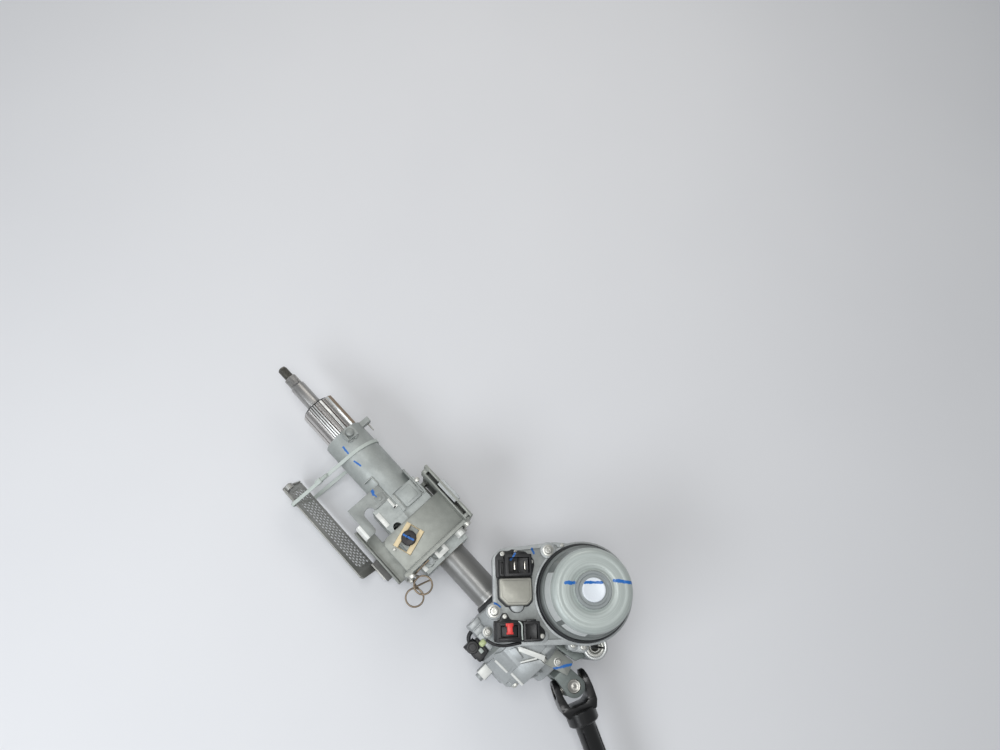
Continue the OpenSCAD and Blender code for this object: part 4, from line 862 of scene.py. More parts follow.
def clamp():
    turn = Matrix.Translation(CLAMP) @ Matrix.Rotation(-TILT_SHARE, 4, "Z")
    head = spun([(35.15, 0), (35.15, 9), (39, 9), (39.8, 8.3), (40.05, 7), (40.05, 3), (38.4, 2.4), (38.4, 0)], 48, "Z")
    shank = bar((0, 0, -58.8), (0, 0, 36), 5, 0.8)
    piece("clamp_bolt_body", moved(joined(head, shank), Matrix.Translation(CLAMP)), "column", "bolt", ("clamp_bolt",))
    liner = carved(
        prism([(-12, -16), (12, -16), (12, 16), (-12, 16)], 28.3, 31.2, 0.2),
        prism([(-6, -15), (6, -15), (6, 15), (-6, 15)], 20, 40, 0),
    )
    rails = []
    for side in (-1, 1):
        rails.append(block((side * 9 - 3, -16, 30.5), (side * 9 + 3, 16, 35.0), 0.7))
        rails.append(block((side * 10.2 - 1.4, 9.4, 34.6), (side * 10.2 + 1.4, 15.4, 35.05), 0.1))
    piece("tilt_liner", moved(joined(liner, *rails), turn), "bracket", "cream", ("tilt_bush",))
    stud = joined(bar((-8, -19.4, 30.8), (-8, -19.4, 33.6), 2.2, 0.8, 24), bar((-1, -20.4, 30.8), (-1, -20.4, 32), 1.6, 0.4, 20))
    piece("tilt_liner_stud", moved(stud, turn), "bracket", "bright")


def spring():
    """The balance spring's wire, with the same route as its solid and finer turns."""
    hook, clamp_y = 296.2, -27.5

    def coil(x, y, z, first):
        return [
            (x + 11 * math.cos(math.radians(first + 12 * t)), y + 11 * math.sin(math.radians(first + 12 * t)), z - 3 * 12 * t / 360)
            for t in range(53)
        ]

    path = [(hook, clamp_y, 36.9), (hook, clamp_y - 16.5, 36.9), (hook + 1.1, -52, 25.5), (301, -46, 13.4)]
    path += coil(312, -50, 12, 180) + coil(315, -66, -14, 170) + [(hook + 1.1, -55, -25), (hook, -50, -36.9)]
    obj = piece("balance_spring_wire", wire(path, 1.1), None, "spring", ("balance_spring",), angle=60)
    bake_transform(obj)


# Motor and control unit


def motor():
    low = [(68.98, 0), (68.98, 52), (69.6, 52.4), (75, 52), (82.6, 52), (84.6, 51.6), (85.8, 50.6), (86.6, 49.4), (110.4, 45.8),
           (110.4, 0)]
    # The can's side takes the darker wall finish as painted shade; the top keeps the lighter can colour.
    piece("motor_can_wall", moved(spun(low, 128, "Z"), Matrix.Translation(MOTOR)), "column", "wall", ("motor_can",), angle=45)
    can = [(109.6, 0), (109.6, 46.0), (110.8, 46.2)] + [(z, r) for r, z in arc((38.2, 111.2), 7.9, 0, 90, 8)]
    can += [(119.0, 36.6), (118.8, 35.4), (119.0, 34.4), (118.9, 28), (118.4, 24.2), (117.1, 22.6), (117.0, 21.3), (119.5, 20.9),
            (119.5, 0)]
    piece("motor_can_top", moved(spun(can, 128, "Z"), Matrix.Translation(MOTOR)), "column", "can", angle=45)
    ring = spun(
        [(118.9, 0), (118.9, 20.7), (121.4, 20.4), (121.98, 19.8), (121.98, 17.4), (121.5, 16.9), (120.9, 16.4), (120.9, 13.8),
         (121.2, 13.4), (121.2, 0)], 96, "Z",
    )
    piece("motor_boss_ring", moved(ring, Matrix.Translation(MOTOR)), "column", "ring", angle=30)
    cap = spun([(120.8, 0), (120.8, 13.1), (122.3, 13.1), (122.9, 12.4), (122.98, 11), (122.7, 10.4), (122.7, 0)], 64, "Z")
    piece("motor_end_cap", moved(cap, Matrix.Translation(MOTOR)), "column", "cap", ("motor_cap",), angle=30)
    seal = spun([(68.98, 52.6), (68.98, 55), (69.8, 55.6), (72.2, 55.4), (74.4, 54), (74.98, 52.6)], 128, "Z")
    piece("motor_seal_ring", moved(seal, Matrix.Translation(MOTOR)), "column", "rubber", ("motor_seal",))
    for name, low, high, first, sweep in (
        ("motor_label_wide", 89.5, 109, 22, 66), ("motor_label_small", 94, 108.8, 95, 34),
    ):
        foot, head = (49.4 - (z - 86.6) * 0.1513 for z in (low, high))
        band = spun([(low, foot - 0.4), (high, head - 0.4), (high, head + 0.3), (low, foot + 0.3)], 32, "Z", sweep, first)
        piece(name, moved(band, Matrix.Translation(MOTOR)), "column", "label")


def unit_casting():
    """Cast base that carries the motor, with a raised rim, ears and screw bosses."""
    outline = rounded(
        [(-105, -8), (-105, 42), (-95, 52), (-30, 58), (-8, 55), (0, 52), (0, -56), (-52, -56), (-105, -56)], 4
    )
    plate = prism(outline, 60.98, 67.6, 0.7)
    disc = bar((0, 0, 60.98), (0, 0, 68.98), 58, 0.8, 128)
    rim_out = prism(outline, 62, 69.6, 0.7)
    rim_in = prism(rounded([(-101, -9), (-101, 40), (-93.5, 47.8), (-32, 53), (-8, 50), (0, 30), (0, -50), (-101, -50)], 3), 58, 75, 0)
    rim = carved(rim_out, rim_in)
    ear = bar((-39.2, 48.5, 60.98), (-39.2, 48.5, 70.6), 9.4, 0.8, 48)
    low_ear = bar((-104.6, -17.5, 60.98), (-104.6, -17.5, 71.4), 9.2, 0.8, 48)
    lug = bar((-51, -46, 60.98), (-51, -46, 70.2), 7.5, 0.8, 48)
    whole = carved(plate, disc, rim, ear, low_ear, lug, way="UNION")
    whole = carved(
        whole, bar((0, 0, 50), (0, 0, 80), 32, 0, 64), bar((-30.3, 53, 66), (-30.3, 53, 80), 2.1, 0, 24),
        bar((-22.2, 54, 67), (-22.2, 54, 80), 1.6, 0, 24),
    )
    piece("unit_casting", moved(whole, UNIT), "column", "casting", ("unit_base",), angle=30)
    # The floor inside the rim is a darker copy of the casting: painted shade, so the raised rim reads lighter.
    inner = prism(rounded([(-101.4, -9), (-101.4, 40.2), (-93.6, 48.2), (-32, 53.4), (-8, 50.4), (0, 30), (0, -50), (-101.4, -50)], 3), 67, 67.9, 0.1)
    piece("unit_inner_floor", moved(inner, UNIT), "column", "floor")
    boss = prism(arc((-78.4, -12.2), 7.6, 180, 360, 16), 67, 73.4, 0.9)
    piece("unit_half_boss", moved(boss, UNIT), "column", "casting")


def unit_cover():
    corners = [(-98, 18), (-61, 18), (-61, -6), (-66.5, -12), (-89, -12), (-98, -3)]
    lid = prism(rounded(corners, 2.5), 67.8, 76, 1.6, 4)
    inner = prism(rounded([(-95.4, 15.4), (-63.6, 15.4), (-63.6, -5), (-67.6, -9.4), (-88, -9.4), (-95.4, -2)], 2), 75.4, 76.5, 0.4, 2)
    # A black sheet a little wider than the lid and the half boss, set under both: painted shadow that draws a dark
    # outline round them.
    foot = [(a - (1.8 if a < -80 else -1.8), b + (1.4 if b > 0 else -1.6)) for a, b in corners]
    piece("unit_cover_box", moved(joined(lid, inner), UNIT), "column", "lid", ("unit_lid",))
    shadow_outline = joined(prism(rounded(foot, 2), 67.4, 69.0, 0.2, 1), prism(arc((-78.4, -10.6), 9.6, 180, 360, 16), 67, 68.6, 0.2, 1))
    piece("unit_cover_shadow_outline", moved(shadow_outline, UNIT), "column", "rubber")


def power_plug():
    plate = prism(
        rounded([(-101.6, 19), (-101.6, 42.5), (-96, 48.8), (-86, 48.6), (-81.5, 50.8), (-75, 48.6), (-66, 47.6), (-57, 39), (-56, 33),
                 (-60, 18.4)], 2), 67.2, 71.4, 0.6,
    )
    wide = carved(block((-92, 19.4, 70), (-60.6, 44, 82), 1.0, 3), block((-87.6, 22.6, 72.5), (-63.6, 40.6, 90), 0.5))
    side = carved(block((-98, 19.8, 70), (-90.6, 38.5, 79.5), 0.8), block((-96, 22.5, 74), (-93.2, 35.5, 90), 0.3))
    latch = block((-82, 43.4, 72), (-70.5, 46.8, 80.5), 0.6)
    rib = block((-75.9, 23, 72), (-74.6, 40, 79), 0.2)
    piece("power_socket_body", moved(joined(plate, wide, side, latch, rib), UNIT), "column", "socket", ("power_socket",))
    blades = [block((a - 0.8, 26.6, 71), (a + 0.8, 35.6, 80), 0.3) for a in (-80.4, -68.6)]
    piece("power_blades", moved(joined(*blades), UNIT), "column", "blade")
    heads = [star_screw(-93.3, 45.4, 71.3, 2.9, 2.3), star_screw(-78, 47.4, 71.3, 2.2, 1.8), star_screw(-59.6, 36, 71.3, 2.2, 1.8)]
    piece("power_socket_screws", moved(joined(*heads), UNIT), "column", "bright")


def signal_plug():
    plate = prism(
        rounded([(-105.5, -50.6), (-105.5, -28), (-99, -27.4), (-95.5, -20), (-90, -20), (-86.5, -27), (-74, -28.5), (-56, -30.4),
                 (-47.4, -40), (-47, -46.5), (-51, -51.4)], 2), 67.2, 71.0, 0.6,
    )
    first = carved(block((-103.6, -51, 70), (-76, -29.4, 81), 1.0, 3), block((-98.5, -46, 73), (-79.6, -33.4, 90), 0.4))
    mate = joined(
        block((-98, -45.4, 71), (-80.2, -34, 80), 0.6), block((-101.5, -49.4, 80.2), (-78, -46.6, 83.6), 0.6),
        block((-100, -33.6, 80.2), (-80, -31.2, 82.4), 0.5),
    )
    second = carved(block((-73.4, -51.4, 70), (-54.4, -29.6, 80.5), 1.0, 3), block((-70.8, -48.6, 72.4), (-57, -32.4, 90), 0.4))
    keys = [block((-71.2, -37.2, 72), (-68.6, -36, 79), 0.1), block((-64.6, -49, 72), (-63.4, -46.2, 79), 0.1)]
    latch = block((-69.5, -30.4, 73), (-58.5, -27.6, 79.5), 0.5)
    piece(
        "signal_socket_body", moved(joined(plate, first, mate, second, latch, *keys), UNIT), "column", "socket", ("signal_socket",)
    )
    lock = joined(
        block((-91.8, -42.6, 79.2), (-85.8, -31.2, 83.8), 0.7), block((-93.2, -34.6, 79.2), (-84.6, -31.0, 82.8), 0.6),
        block((-92.6, -43, 79.2), (-84.8, -40.6, 82.4), 0.5),
    )
    piece("signal_lock", moved(lock, UNIT), "column", "lock")
    path = [(-114.6, -47.6, 74), (-112, -49.6, 75), (-106, -53, 76), (-98, -54.8, 76), (-90, -54.4, 76), (-80, -52.6, 76), (-76, -52, 75)]
    arm = wire(path, 1.7, 12)
    piece("signal_lever", moved(arm, UNIT), "column", "socket", angle=60)
    strip = wire([(-78.6, -29.5, 80), (-75.4, -31, 81), (-74.6, -36, 80.5), (-75.2, -42, 80.2), (-74.6, -49, 79)], 0.9, 8)
    piece("signal_seal_strip", moved(strip, UNIT), "column", "nylon", angle=60)
    heads = [star_screw(-92.8, -23.6, 70.9, 2.9, 2.3), star_screw(-51.2, -45.9, 70.9, 2.9, 2.3)]
    piece("signal_socket_screws", moved(joined(*heads), UNIT), "column", "bright")


def unit_fixings():
    heads = [
        star_screw(-104.6, -17.5, 71.4, 5.2, 3.6, 7.2), star_screw(-39.2, 48.5, 70.6, 4.6, 3.2, 6.6),
        star_screw(-22.2, 54, 69.4, 2.4, 1.6), star_screw(-51, -46, 70.2, 2.2, 1.2),
    ]
    piece("unit_fixing_screws", moved(joined(*heads), UNIT), "column", "bright", ("unit_screws",))


# Lever and stop plate


def hook_plate():
    """Flat plate beside the jacket: hooked slot, embossed corner and an edge bent down."""
    outline = rounded([(186.3, -60), (186.3, -12.2), (207.8, -12.2), (207.8, -33.4)], 1.2)[:-3]
    outline += arc((206.9, -41), 7.2, 88, 270, 14) + [(223.5, -48.4)] + arc((223.5, -53), 4.6, 90, 0, 5) + [(228.1, -60)]
    plate = prism(outline, 24, 26.5, 0.5)
    boss = prism(rounded([(195, -13.6), (206.3, -13.6), (206.3, -27), (195, -27)], 3.2), 26, 27.1, 0.5)
    bend = [(-59.5, 26.5)] + arc((-59.5, 20), 6.5, 90, 180, 8)[1:] + [(-66, 12.5), (-63.6, 12.5), (-63.6, 20)]
    bend += arc((-59.5, 20), 4.1, 180, 90, 8)[1:]
    foot = prism(bend, 208.6, 228.1, 0.25, 1, "X")
    seat = block((187, -30, 10), (207, -14, 24.2), 1.5)
    piece("hook_plate", joined(plate, boss), "jacket", "hook", ("stop_plate",), angle=28)
    # The bent foot is the same sheet as the plate but takes the white milled finish: painted highlight on its lit side.
    piece("hook_plate_foot", foot, "jacket", "milled", angle=28)
    piece("hook_plate_seat", seat, "jacket", "jacket")
    rivet = bar((200.5, -20.5, 26.8), (200.5, -20.5, 28.2), 3, 0.6, 32)
    piece("hook_plate_rivet", rivet, "jacket", "hook")


LEVER = Matrix.Translation((254, -76, -56.3)) @ Matrix.Rotation(math.pi, 4, "Z") @ Matrix.Rotation(math.radians(58), 4, "X")


def lever_trim():
    """Rolled edges, curled hook and arm ribs of the perforated lever."""
    border = rounded([(0.9, 0.9), (0.9, 42.1), (152.1, 42.1), (152.1, 0.9)], 4)
    hem = wire([(x, y, 0.8) for x, y in border] + [(*border[0], 0.8)], 1.25, 12, False)
    piece("lever_hem", moved(hem, LEVER), "lever", "lever", angle=50)
    curl = arc((36.5, 5.8), 5.4, -85, 200, 18) + arc((36.5, 5.8), 3.9, 200, -85, 18)
    hook = prism(curl, 145.4, 151.6, 0.2, 1, "X")
    plate = prism(rounded([(128, 33.5), (128, 42), (152, 42), (152, 12), (145, 12), (142, 33.5)], 2.5), 0.2, 2.6, 0.4)
    root = prism(rounded([(-1, 2), (-1, 41), (9, 41), (11, 30), (11, 12), (9, 2)], 2.5), 0.2, 2.4, 0.4)
    piece("lever_hook", moved(joined(hook, plate, root), LEVER), "lever", "lever", angle=40)
    rib = [block((x, -74, -50.4), (x + 2.4, -42, -48.6), 0.5) for x in (247.5, 272)]
    piece("lever_arm_ribs", joined(*rib), "lever", "lever")


def flange_trim():
    """Folded webs of the flange, which leave its dark slots, and the rims of the sheet parts."""
    strips = []
    for side in (-1, 1):
        low, high = (30.6, 50.5) if side > 0 else (-50.5, -30.6)
        strips.append(block((213.5, 35.0, low), (292, 37.2, high), 0.6))
        for start, end in ((213.5, 219), (286, 290.5)):
            strips.append(block((start, 36, low), (end, 42.2, high), 0.5))
        edge = (49.6, 52.2) if side > 0 else (-52.2, -49.6)
        strips.append(block((211, 41.4, edge[0]), (236, 45.2, edge[1]), 0.6))
        strips.append(block((270, 41.4, edge[0]), (294, 45.2, edge[1]), 0.6))
    piece("flange_webs", joined(*strips), "bracket", "zinc")
    rim = prism(
        [(-60, -38), (-60, 38), (42, 38), (42, -38)], 288.6, 290.1, 0.5, axis="X",
    )
    hole = prism([(-57, -35), (-57, 35), (39.5, 35), (39.5, -35)], 280, 300, 0, axis="X")
    piece("end_plate_rim", carved(rim, hole), "bracket", "zinc")
    nuts = [moved(hex_head(0, 0, 0, 8, 5, 5.4), Matrix.Translation((293.9, y, z)) @ Matrix.Rotation(math.pi / 2, 4, "Y"))
            for y, z in ((35.5, 33.6), (-54, 33.6), (35.5, -33.6), (-54, -33.6))]
    piece("end_plate_rivets", joined(*nuts), "bracket", "bright")


# Gear housing, sensor and output


def gear_casting():
    """Die-cast gear housing: faceted drum, worm tower, pivot arms, foot and stub."""
    corners = [(60.5 * math.cos(math.radians(a)), 60.5 * math.sin(math.radians(a))) for a in range(17, 377, 36)]
    drum = prism(corners, 429, 460, 1.0, axis="X")
    tower = bar((447, 74.48, -60.3), (447, 74.48, 60.9), 29, 1.4, 96)
    collar = bar((447, 74.48, 52), (447, 74.48, 60.9), 33.5, 1.2, 96)
    bridge = block((429.5, 0, -29), (460, 72, 29), 3, 3)
    arm = [(449, 30.5), (489, 32.5)] + arc((503, 47), 15, -75, 105, 16) + [(470, 66), (449, 68)]
    arms = [prism(arm, low, low + 12, 1.2) for low in (-36, 24)]
    eye = bar((503, 47, -36), (503, 47, 36), 15, 1.2, 64)
    foot = bar((447, 0, -60.3), (447, 0, -40), 12, 0.9, 48)
    stub = block((428, -70, -8.5), (442, -50, 8.5), 1.6, 3)
    pin = bar((435, -74, 0), (435, -68, 0), 5, 0.6, 32)
    whole = carved(drum, tower, collar, bridge, *arms, eye, foot, stub, pin, way="UNION")
    whole = carved(
        whole, bar((428, 0, 0), (461, 0, 0), 56.2, 0, 96), bar((447, 74.48, -54.3), (447, 74.48, 70), 24.3, 0, 64),
        bar((447, 74.48, -61), (447, 74.48, -50), 17, 0, 48), bar((503, 47, -40), (503, 47, 40), 11.02, 0, 48),
    )
    piece("gear_housing_casting", whole, "column", "casting", ("gear_housing",), angle=28)
    pads = [
        crust([(425.5, -45.5), (436, -23.2), (450.5, -24.8), (450.5, -46.8), (431, -49)], 56.8, 60.6, 0.8),
        crust([(453.2, -43.6), (453.2, -30.5), (464.2, -12), (472.2, -11.8), (472.2, -43)], 56.8, 61.0, 0.8),
        crust([(429.5, 4), (429.5, 22), (445, 22), (445, 4)], 56.8, 60.7, 0.8),
    ]
    for a in (197, 233, 269, 305):
        rib = block((430, -1.6, 55), (459.5, 1.6, 60.8), 0.6)
        pads.append(turned(rib, a - 90, "X"))
        pads.append(turned(block((440, -16, 56), (443, 16, 59.6), 0.5), a - 72, "X"))
    piece("drum_pads", joined(*pads), "column", "casting", angle=28)
    # Thin raised strips along the drum's facet edges and the stripe to the cover boss, in the white milled finish:
    # painted highlight where light catches the facets.
    bright = [
        crust([(436.2, -20.2), (441.6, -23.2), (468.2, -10.2), (465.6, -5.2)], 58, 61.7, 0.2),
        crust([(431.6, -49.4), (431.6, -47.4), (450.4, -46.4), (450.4, -48.4)], 58, 61.2, 0.2),
        crust([(454, -46), (454, -43.8), (472, -43.2), (472, -45.4)], 57, 61.4, 0.2),
        crust([(450.8, -29.6), (452.4, -30.4), (461.8, -14.4), (460.2, -13.4)], 58, 61.3, 0.2),
    ]
    piece("painted_highlight_ridges", joined(*bright), "column", "milled", angle=28)
    face = block((428.8, -70.2, -6), (441.2, -56, 8.9), 0.6)
    piece("stub_face", face, "column", "milled")


def cover_casting():
    """Cover on the output side: rim with screw lugs, gussets and the bearing boss."""
    body = spun(
        [(460, 17.6), (460, 56.9), (464.6, 56.9), (466, 55.6), (466, 49), (468.6, 46), (470.4, 34), (476, 27.5), (486.8, 25),
         (488, 23.8), (488, 17.6)], 96,
    )
    adds = [bar((460.4, 50.98 * math.cos(math.radians(a)), 50.98 * math.sin(math.radians(a))),
                (466.2, 50.98 * math.cos(math.radians(a)), 50.98 * math.sin(math.radians(a))), 7.4, 0.6, 40)
            for a in (100, 160, 220, 280)]
    for a in (128, 150, 190, 235, 258, 305, 335):
        rib = prism([(465, 20), (484, 20), (482, 25.5), (474, 38), (470, 52), (465, 54)], -1.9, 1.9, 0.6, axis="Y")
        adds.append(turned(rib, a - 90, "X"))
    cuts = [bar((447, 74.48, -70), (447, 74.48, 70), 29.1, 0, 96)]
    cuts += [block((447, 31.9, z - 0.2), (520, 64, z + 12.2), 0) for z in (-36, 24)]
    whole = carved(carved(body, *adds, way="UNION"), *cuts)
    piece("gear_cover_casting", whole, "column", "casting", ("gear_cover",), angle=28)
    heads = []
    for a in (100, 160, 220, 280):
        y, z = 50.98 * math.cos(math.radians(a)), 50.98 * math.sin(math.radians(a))
        head = hex_head(0, 0, 0, 8, 4.6, 6.2, 2.2)
        heads.append(moved(head, Matrix.Translation((466.2, y, z)) @ Matrix.Rotation(math.pi / 2, 4, "Y")))
    piece("cover_screws", joined(*heads), "column", "bright", ("housing_screws",))


def sensor_casting():
    """Casting round the torque sensor, with its shoulder, pads, lug and ribs."""
    barrel = spun(
        [(383, 18.6), (383, 30), (384.2, 33.6), (386, 34.6), (392, 36), (412, 36), (414, 37.6), (418, 37.6), (420.5, 42), (423, 54),
         (425, 56.9), (428.9, 56.9), (428.9, 28.1), (411, 28.1), (411, 18.6)], 96,
    )
    adds = [block((383.2, -44, -18), (423.5, -6, 18), 1.6, 3), bar((404, -32, 0), (404, -32, 24.6), 6.8, 0.6, 40)]
    for a in (20, 65, 112, 215, 270, 325):
        rib = prism([(388, 30), (388, 36.8), (414, 39.4), (423, 55), (427, 55), (427, 30)], -1.8, 1.8, 0.6, axis="Y")
        adds.append(turned(rib, a - 90, "X"))
    whole = carved(carved(barrel, *adds, way="UNION"), bar((447, 74.48, -70), (447, 74.48, 70), 29.1, 0, 96),
                   bar((370, 0, 0), (411.5, 0, 0), 18.55, 0, 64), bar((410, 0, 0), (430, 0, 0), 28.1, 0, 64))
    piece("sensor_housing_casting", whole, "column", "casting", ("sensor_housing",), angle=28)
    pads = [
        block((383.6, -43.6, 15), (390.6, -29, 21.4), 0.8), block((392.2, -43.6, 15), (399.2, -31, 21.0), 0.8),
        block((381.9, -38, 8), (384.6, -32, 15), 0.6), block((407, -43.8, 14), (421, -38, 19.5), 0.8),
    ]
    piece("sensor_housing_pads", joined(*pads), "column", "casting")
    piece("sensor_lug_screw", star_screw(404, -32, 24.6, 4.4, 3.2, 5.6), "column", "bright")


def torque_plug():
    """Black connector on the free side, with its round cap, white tab and clip."""
    body = block((402.2, -60.6, -9.6), (423.6, -44.4, 9.6), 1.4, 3)
    collar = block((400.8, -48.4, -10), (424, -44, 10), 1.0)
    grip = [block((423, -58 + 3 * k, -8), (424.6, -56.6 + 3 * k, 8), 0.3) for k in range(4)]
    cap = spun([(0, 0), (0, 6.2), (1.6, 7.4), (5.6, 7.4), (6.4, 6.6), (6.4, 4.6), (7.6, 4.2), (7.6, 0)], 40, "Z")
    moved(cap, Matrix.Translation((404.6, -56, 8.4)))
    neck = spun([(0, 0), (0, 7.8), (5, 7.8), (6, 7), (6, 0)], 40)
    moved(neck, Matrix.Translation((397.6, -55.4, 0)))
    key = block((410, -62, -4), (418, -59.6, 4), 0.6)
    piece("torque_plug_body", joined(body, collar, *grip, cap, neck, key), "column", "socket", ("sensor_plug",))
    piece("torque_plug_tab", block((411.6, -53.2, 9), (417.4, -48.6, 12.4), 0.7), "column", "nylon")
    clip = joined(block((405.4, -48.4, 18), (412.2, -40.4, 26.4), 2.0, 3), block((407.4, -46, 8.5), (410.6, -43, 20), 0.7))
    piece("harness_clip", clip, "column", "green")


def output_end():
    """Plate over the output boss, the darker plate above it, and their screws."""
    plate = prism(rounded([(470.6, -10.4), (470.2, 12.6), (497.4, 17.6), (503.2, 1.8)], 1.6), 25.1, 28.05, 0.5)
    plate = carved(plate, bar((485, 4.4, 20), (485, 4.4, 40), 3.0, 0, 32))
    foot = block((469.4, -13, 22.8), (474, 10, 26), 0.6)
    piece("output_plate_sheet", joined(plate, foot), "column", "zinc", ("output_plate",), angle=28)
    piece("output_plate_screw", moved(star_screw(0, 0, 0, 4, 2.8, 5.2), Matrix.Translation((485, 4.4, 28))), "column", "bright")
    upper = prism(rounded([(464.5, 14.5), (470, 22.5), (496, 31.4), (503.5, 32), (498, 19.4), (470, 13.4)], 1.5), 27.6, 31.2, 0.6)
    ribs = [block((472, 18, 30.6), (474, 24.5, 32.6), 0.4), block((482, 20, 30.6), (484, 27, 32.6), 0.4)]
    piece("output_bridge_plate", joined(upper, *ribs), "column", "yoke", angle=28)
    lugs = [bar((x, y, 40), (x, y, z), r, 0.7, 40) for x, y, z, r in ((479.6, 26, 59.6, 6.2), (489.1, 33.6, 59.6, 6.4))]
    arm = hulled([(x + dx, y + dy, z) for x, y in ((479.6, 26), (489.1, 33.6), (466, 40)) for dx in (-5, 5)
                  for dy in (-5, 5) for z in (50, 58)], 1.2)
    piece("unit_screw_lugs", joined(carved(lugs[0], lugs[1], arm, way="UNION")), "column", "casting")
    heads = [star_screw(479.6, 26, 59.6, 3.6, 2.4), star_screw(489.1, 33.6, 59.6, 4.2, 2.8), star_screw(472.1, 24.5, 58, 2.2, 1.4)]
    piece("unit_low_screws", joined(*heads), "column", "bright")
    liner = spun([(-36, 5.1), (-36, 10.98), (36, 10.98), (36.4, 9.6), (36, 8.0), (33, 6.2), (33, 5.1)], 48, "Z")
    slot = block((4, -1.1, -40), (14, 1.1, 40), 0)
    split = turned(carved(liner, slot), 40, "Z")
    piece("pivot_split_sleeve", shifted(split, 503, 47), "column", "bright", ("pivot_bush",))
    ring = spun([(35.9, 11.2), (35.9, 14.2), (36.9, 13.8), (37.2, 12.6), (36.9, 11.6)], 64, "Z")
    piece("pivot_eye_face", shifted(ring, 503, 47), "column", "machined")


# Universal joints and the intermediate shaft


def fork(root, hub, width=10.4, ear=13):
    """A forged fork along X, ears above and below the centre."""
    side = [(-ear, 20.6), (-4, 22), (8, 23), (root - 1, 22.4), (root + 8, hub + 1)]
    side += [(x, -z) for x, z in reversed(side)]
    body = prism(side, -ear, ear, 1.4, 3, "Y")
    gap = prism(
        [(-40, 15), (5, 15)] + arc((root - 9, 6), 7, 70, 0, 6) + arc((root - 9, -6), 7, 0, -70, 6) + [(5, -15), (-40, -15)],
        -30, 30, 0, axis="Y",
    )
    plan = arc((0, 0), ear, 100, 260, 20) + [(root - 6, -width), (root + 8, -hub), (root + 8, hub), (root - 6, width)]
    body = carved(body, gap)
    body = carved(body, prism(plan, -40, 40, 0), way="INTERSECT")
    body = soften(body, 0.9, 2, 55)
    return carved(body, bar((0, 0, -30), (0, 0, 30), 8.05, 0, 48))


def cross_piece(name, body, node, place):
    core = hulled([(x, y, z) for x in (-6.5, 6.5) for y in (-6.5, 6.5) for z in (-6.5, 6.5)], 2.2, 3)
    shapes = [core]
    for kind in ("Z", "Y"):
        stem = bar((0, 0, -16), (0, 0, 16), 5, 0.3, 32)
        cups = [
            shifted(spun([(14.7, 0), (14.7, 8), (19.9, 8), (20.7, 7.3), (20.7, 6.1), (20.1, 5.3), (20.1, 1.6), (20.4, 1.1), (20.4, 0)], 48, "Z"), 0, 0, 0)
        ]
        cups.append(turned(spun([(14.7, 0), (14.7, 8), (19.9, 8), (20.7, 7.3), (20.7, 6.1), (20.1, 5.3), (20.1, 1.6), (20.4, 1.1), (20.4, 0)], 48, "Z"), 180, "X"))
        seals = [bar((0, 0, z), (0, 0, z + 1.6), 7, 0.4, 32) for z in (12.9, -14.5)]
        arm = joined(stem, *cups, *seals)
        if kind == "Y":
            turned(arm, 90, "X")
        shapes.append(arm)
    piece(name, moved(joined(*shapes), place), body, "cup", (node,), angle=40)


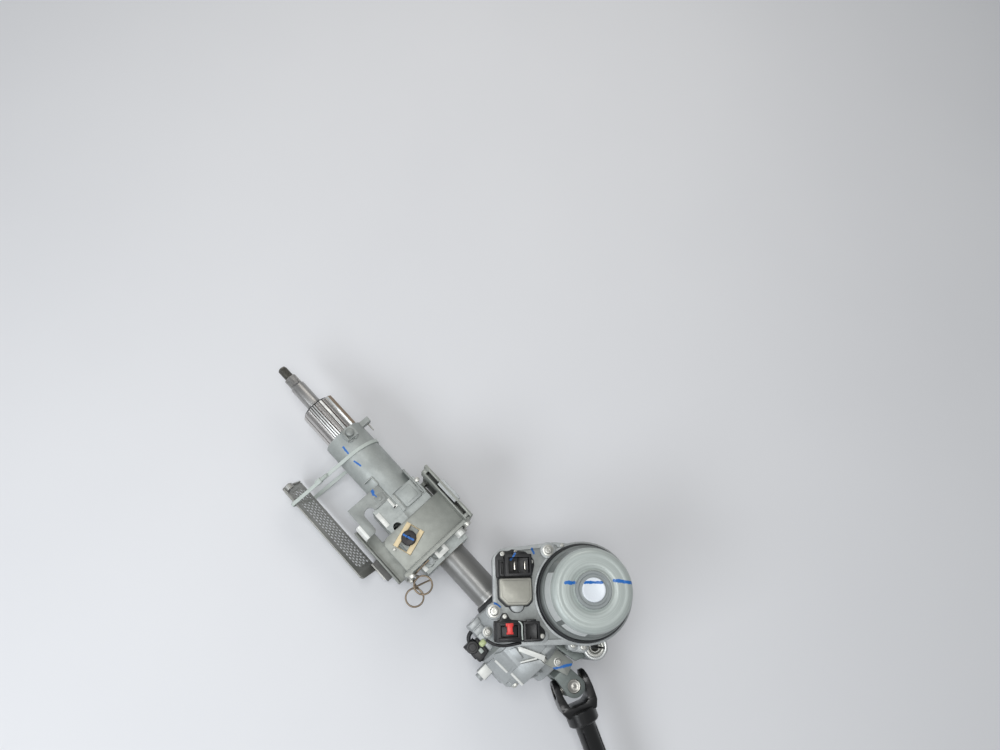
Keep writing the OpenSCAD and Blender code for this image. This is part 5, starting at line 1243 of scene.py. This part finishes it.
def joints():
    """Output yoke, crosses, sliding tube and shaft, and the clamping yoke at the far end."""
    yoke = turned(fork(24, 11.5), 180, "Z")
    shifted(yoke, JOINT_X)
    stem = spun([(431, 4.6), (431, 11), (486, 11), (487, 12.4), (491, 12.4), (494, 11), (494, 0), (447, 0), (447, 4.6)], 48)
    piece("output_shaft_yoke", carved(yoke, stem, way="UNION"), "output", "yoke", ("output_shaft",), angle=32)
    cross_piece("upper_joint_cross", "upper_cross", "upper_cross", at_joint_flat())
    upper = turned(fork(24, 17.5, 12), 90, "X")
    tube = spun(
        [(28, 0), (28, 18), (29, 18.8), (42.6, 18.4), (44, 17.4), (45.6, 13.4), (48, 12.5), (170, 12.5), (171, 13.6), (177.4, 13.6), (178, 13),
         (178, 9.6), (31, 9.6), (31, 0)], 64,
    )
    piece("slide_tube_fork", moved(upper, at_joint()), "slide_tube", "black", ("slide_tube",), angle=32)
    grooves = [turned(block((52, -0.9, 11.6), (164, 0.9, 13), 0.1), a, "X") for a in (35, 125, 215, 305)]
    piece("slide_tube_barrel", moved(carved(tube, *grooves), at_joint()), "slide_tube", "black", angle=32)
    boot = spun([(170, 9.7), (170, 13.9), (172, 14.4), (176, 14.4), (179, 12.4), (180.5, 10.4), (180.5, 9.7)], 64)
    piece("slide_tube_seal", moved(boot, at_joint()), "slide_tube", "rubber")
    lower = turned(turned(fork(24, 12.5, 11), 180, "Z"), 90, "X")
    moved(lower, Matrix.Translation((SPAN, 0, 0)))
    points = []
    for i in range(12):
        for share, radius in ((0.02, 9.5), (0.3, 9.5), (0.5, 8.5), (0.78, 8.5)):
            a = math.radians(30 * (i + share))
            points.append((radius * math.cos(a), radius * math.sin(a)))
    rod = prism(points, SPAN / 3, 250, 0.2, 1, axis="X")
    neck = spun([(246, 0), (246, 9), (256, 9.6), (259, 12.5), (266, 12.5), (266, 0)], 48)
    piece("slide_shaft_fork", moved(joined(lower, neck), at_joint()), "slide_shaft", "black", ("slide_shaft",), angle=32)
    piece("slide_shaft_spline", moved(rod, at_joint()), "slide_shaft", "shaft", angle=25)
    cross_piece("lower_joint_cross", "lower_cross", "lower_cross", at_joint(SPAN))
    clamp_fork = fork(24, 13, 11)
    barrel = carved(
        bar((26, 0, 0), (62, 0, 0), 14, 1.0, 64), block((28, -16, -10), (62, 0, 10), 1.4, 3), way="UNION"
    )
    whole = carved(clamp_fork, barrel, way="UNION")
    whole = carved(
        whole, bar((20, 0, 0), (70, 0, 0), 8.5, 0, 48), block((28.5, -30, -2), (70, 0, 2), 0),
        bar((45, -12.7, -30), (45, -12.7, 30), 4.2, 0, 32),
    )
    piece("clamp_yoke", moved(whole, at_joint(SPAN)), "lower_yoke", "yoke", ("lower_yoke",), angle=32)


def at_joint_flat():
    return Matrix.Translation((JOINT_X, 0, 0)) @ Matrix.Rotation(SWING, 4, "Z")


def column_tube():
    """Lower tube with its rolled end, and the seal against the sensor housing."""
    tube = spun(
        [(242, 16), (242, 18.2), (242.5, 18.5), (370, 18.5), (371, 18.35), (372, 18.5), (401, 18.5), (401, 16)], 96
    )
    piece("lower_tube_barrel", tube, "column", "tube", ("lower_tube",))
    seal = spun([(378, 18.55), (378, 20.6), (378.8, 21.6), (381.4, 22.5), (382.95, 22.5), (382.95, 18.55)], 96)
    piece("tube_seal_ring", seal, "column", "rubber", ("tube_seal",))
    ring = spun([(376.3, 18.55), (376.3, 19.5), (377.8, 19.7), (377.8, 18.55)], 96)
    piece("tube_snap_ring", ring, "column", "shaft")


camera()
make_finishes()
dress_nodes()
steering_shaft()
nose()
lock()
jacket_details()
tie()
bracket()
clamp()
spring()
motor()
unit_casting()
unit_cover()
power_plug()
signal_plug()
unit_fixings()
hook_plate()
lever_trim()
flange_trim()
gear_casting()
cover_casting()
sensor_casting()
torque_plug()
output_end()
joints()
column_tube()
light_room()
floor()
bpy.context.scene.view_settings.view_transform = "Standard"
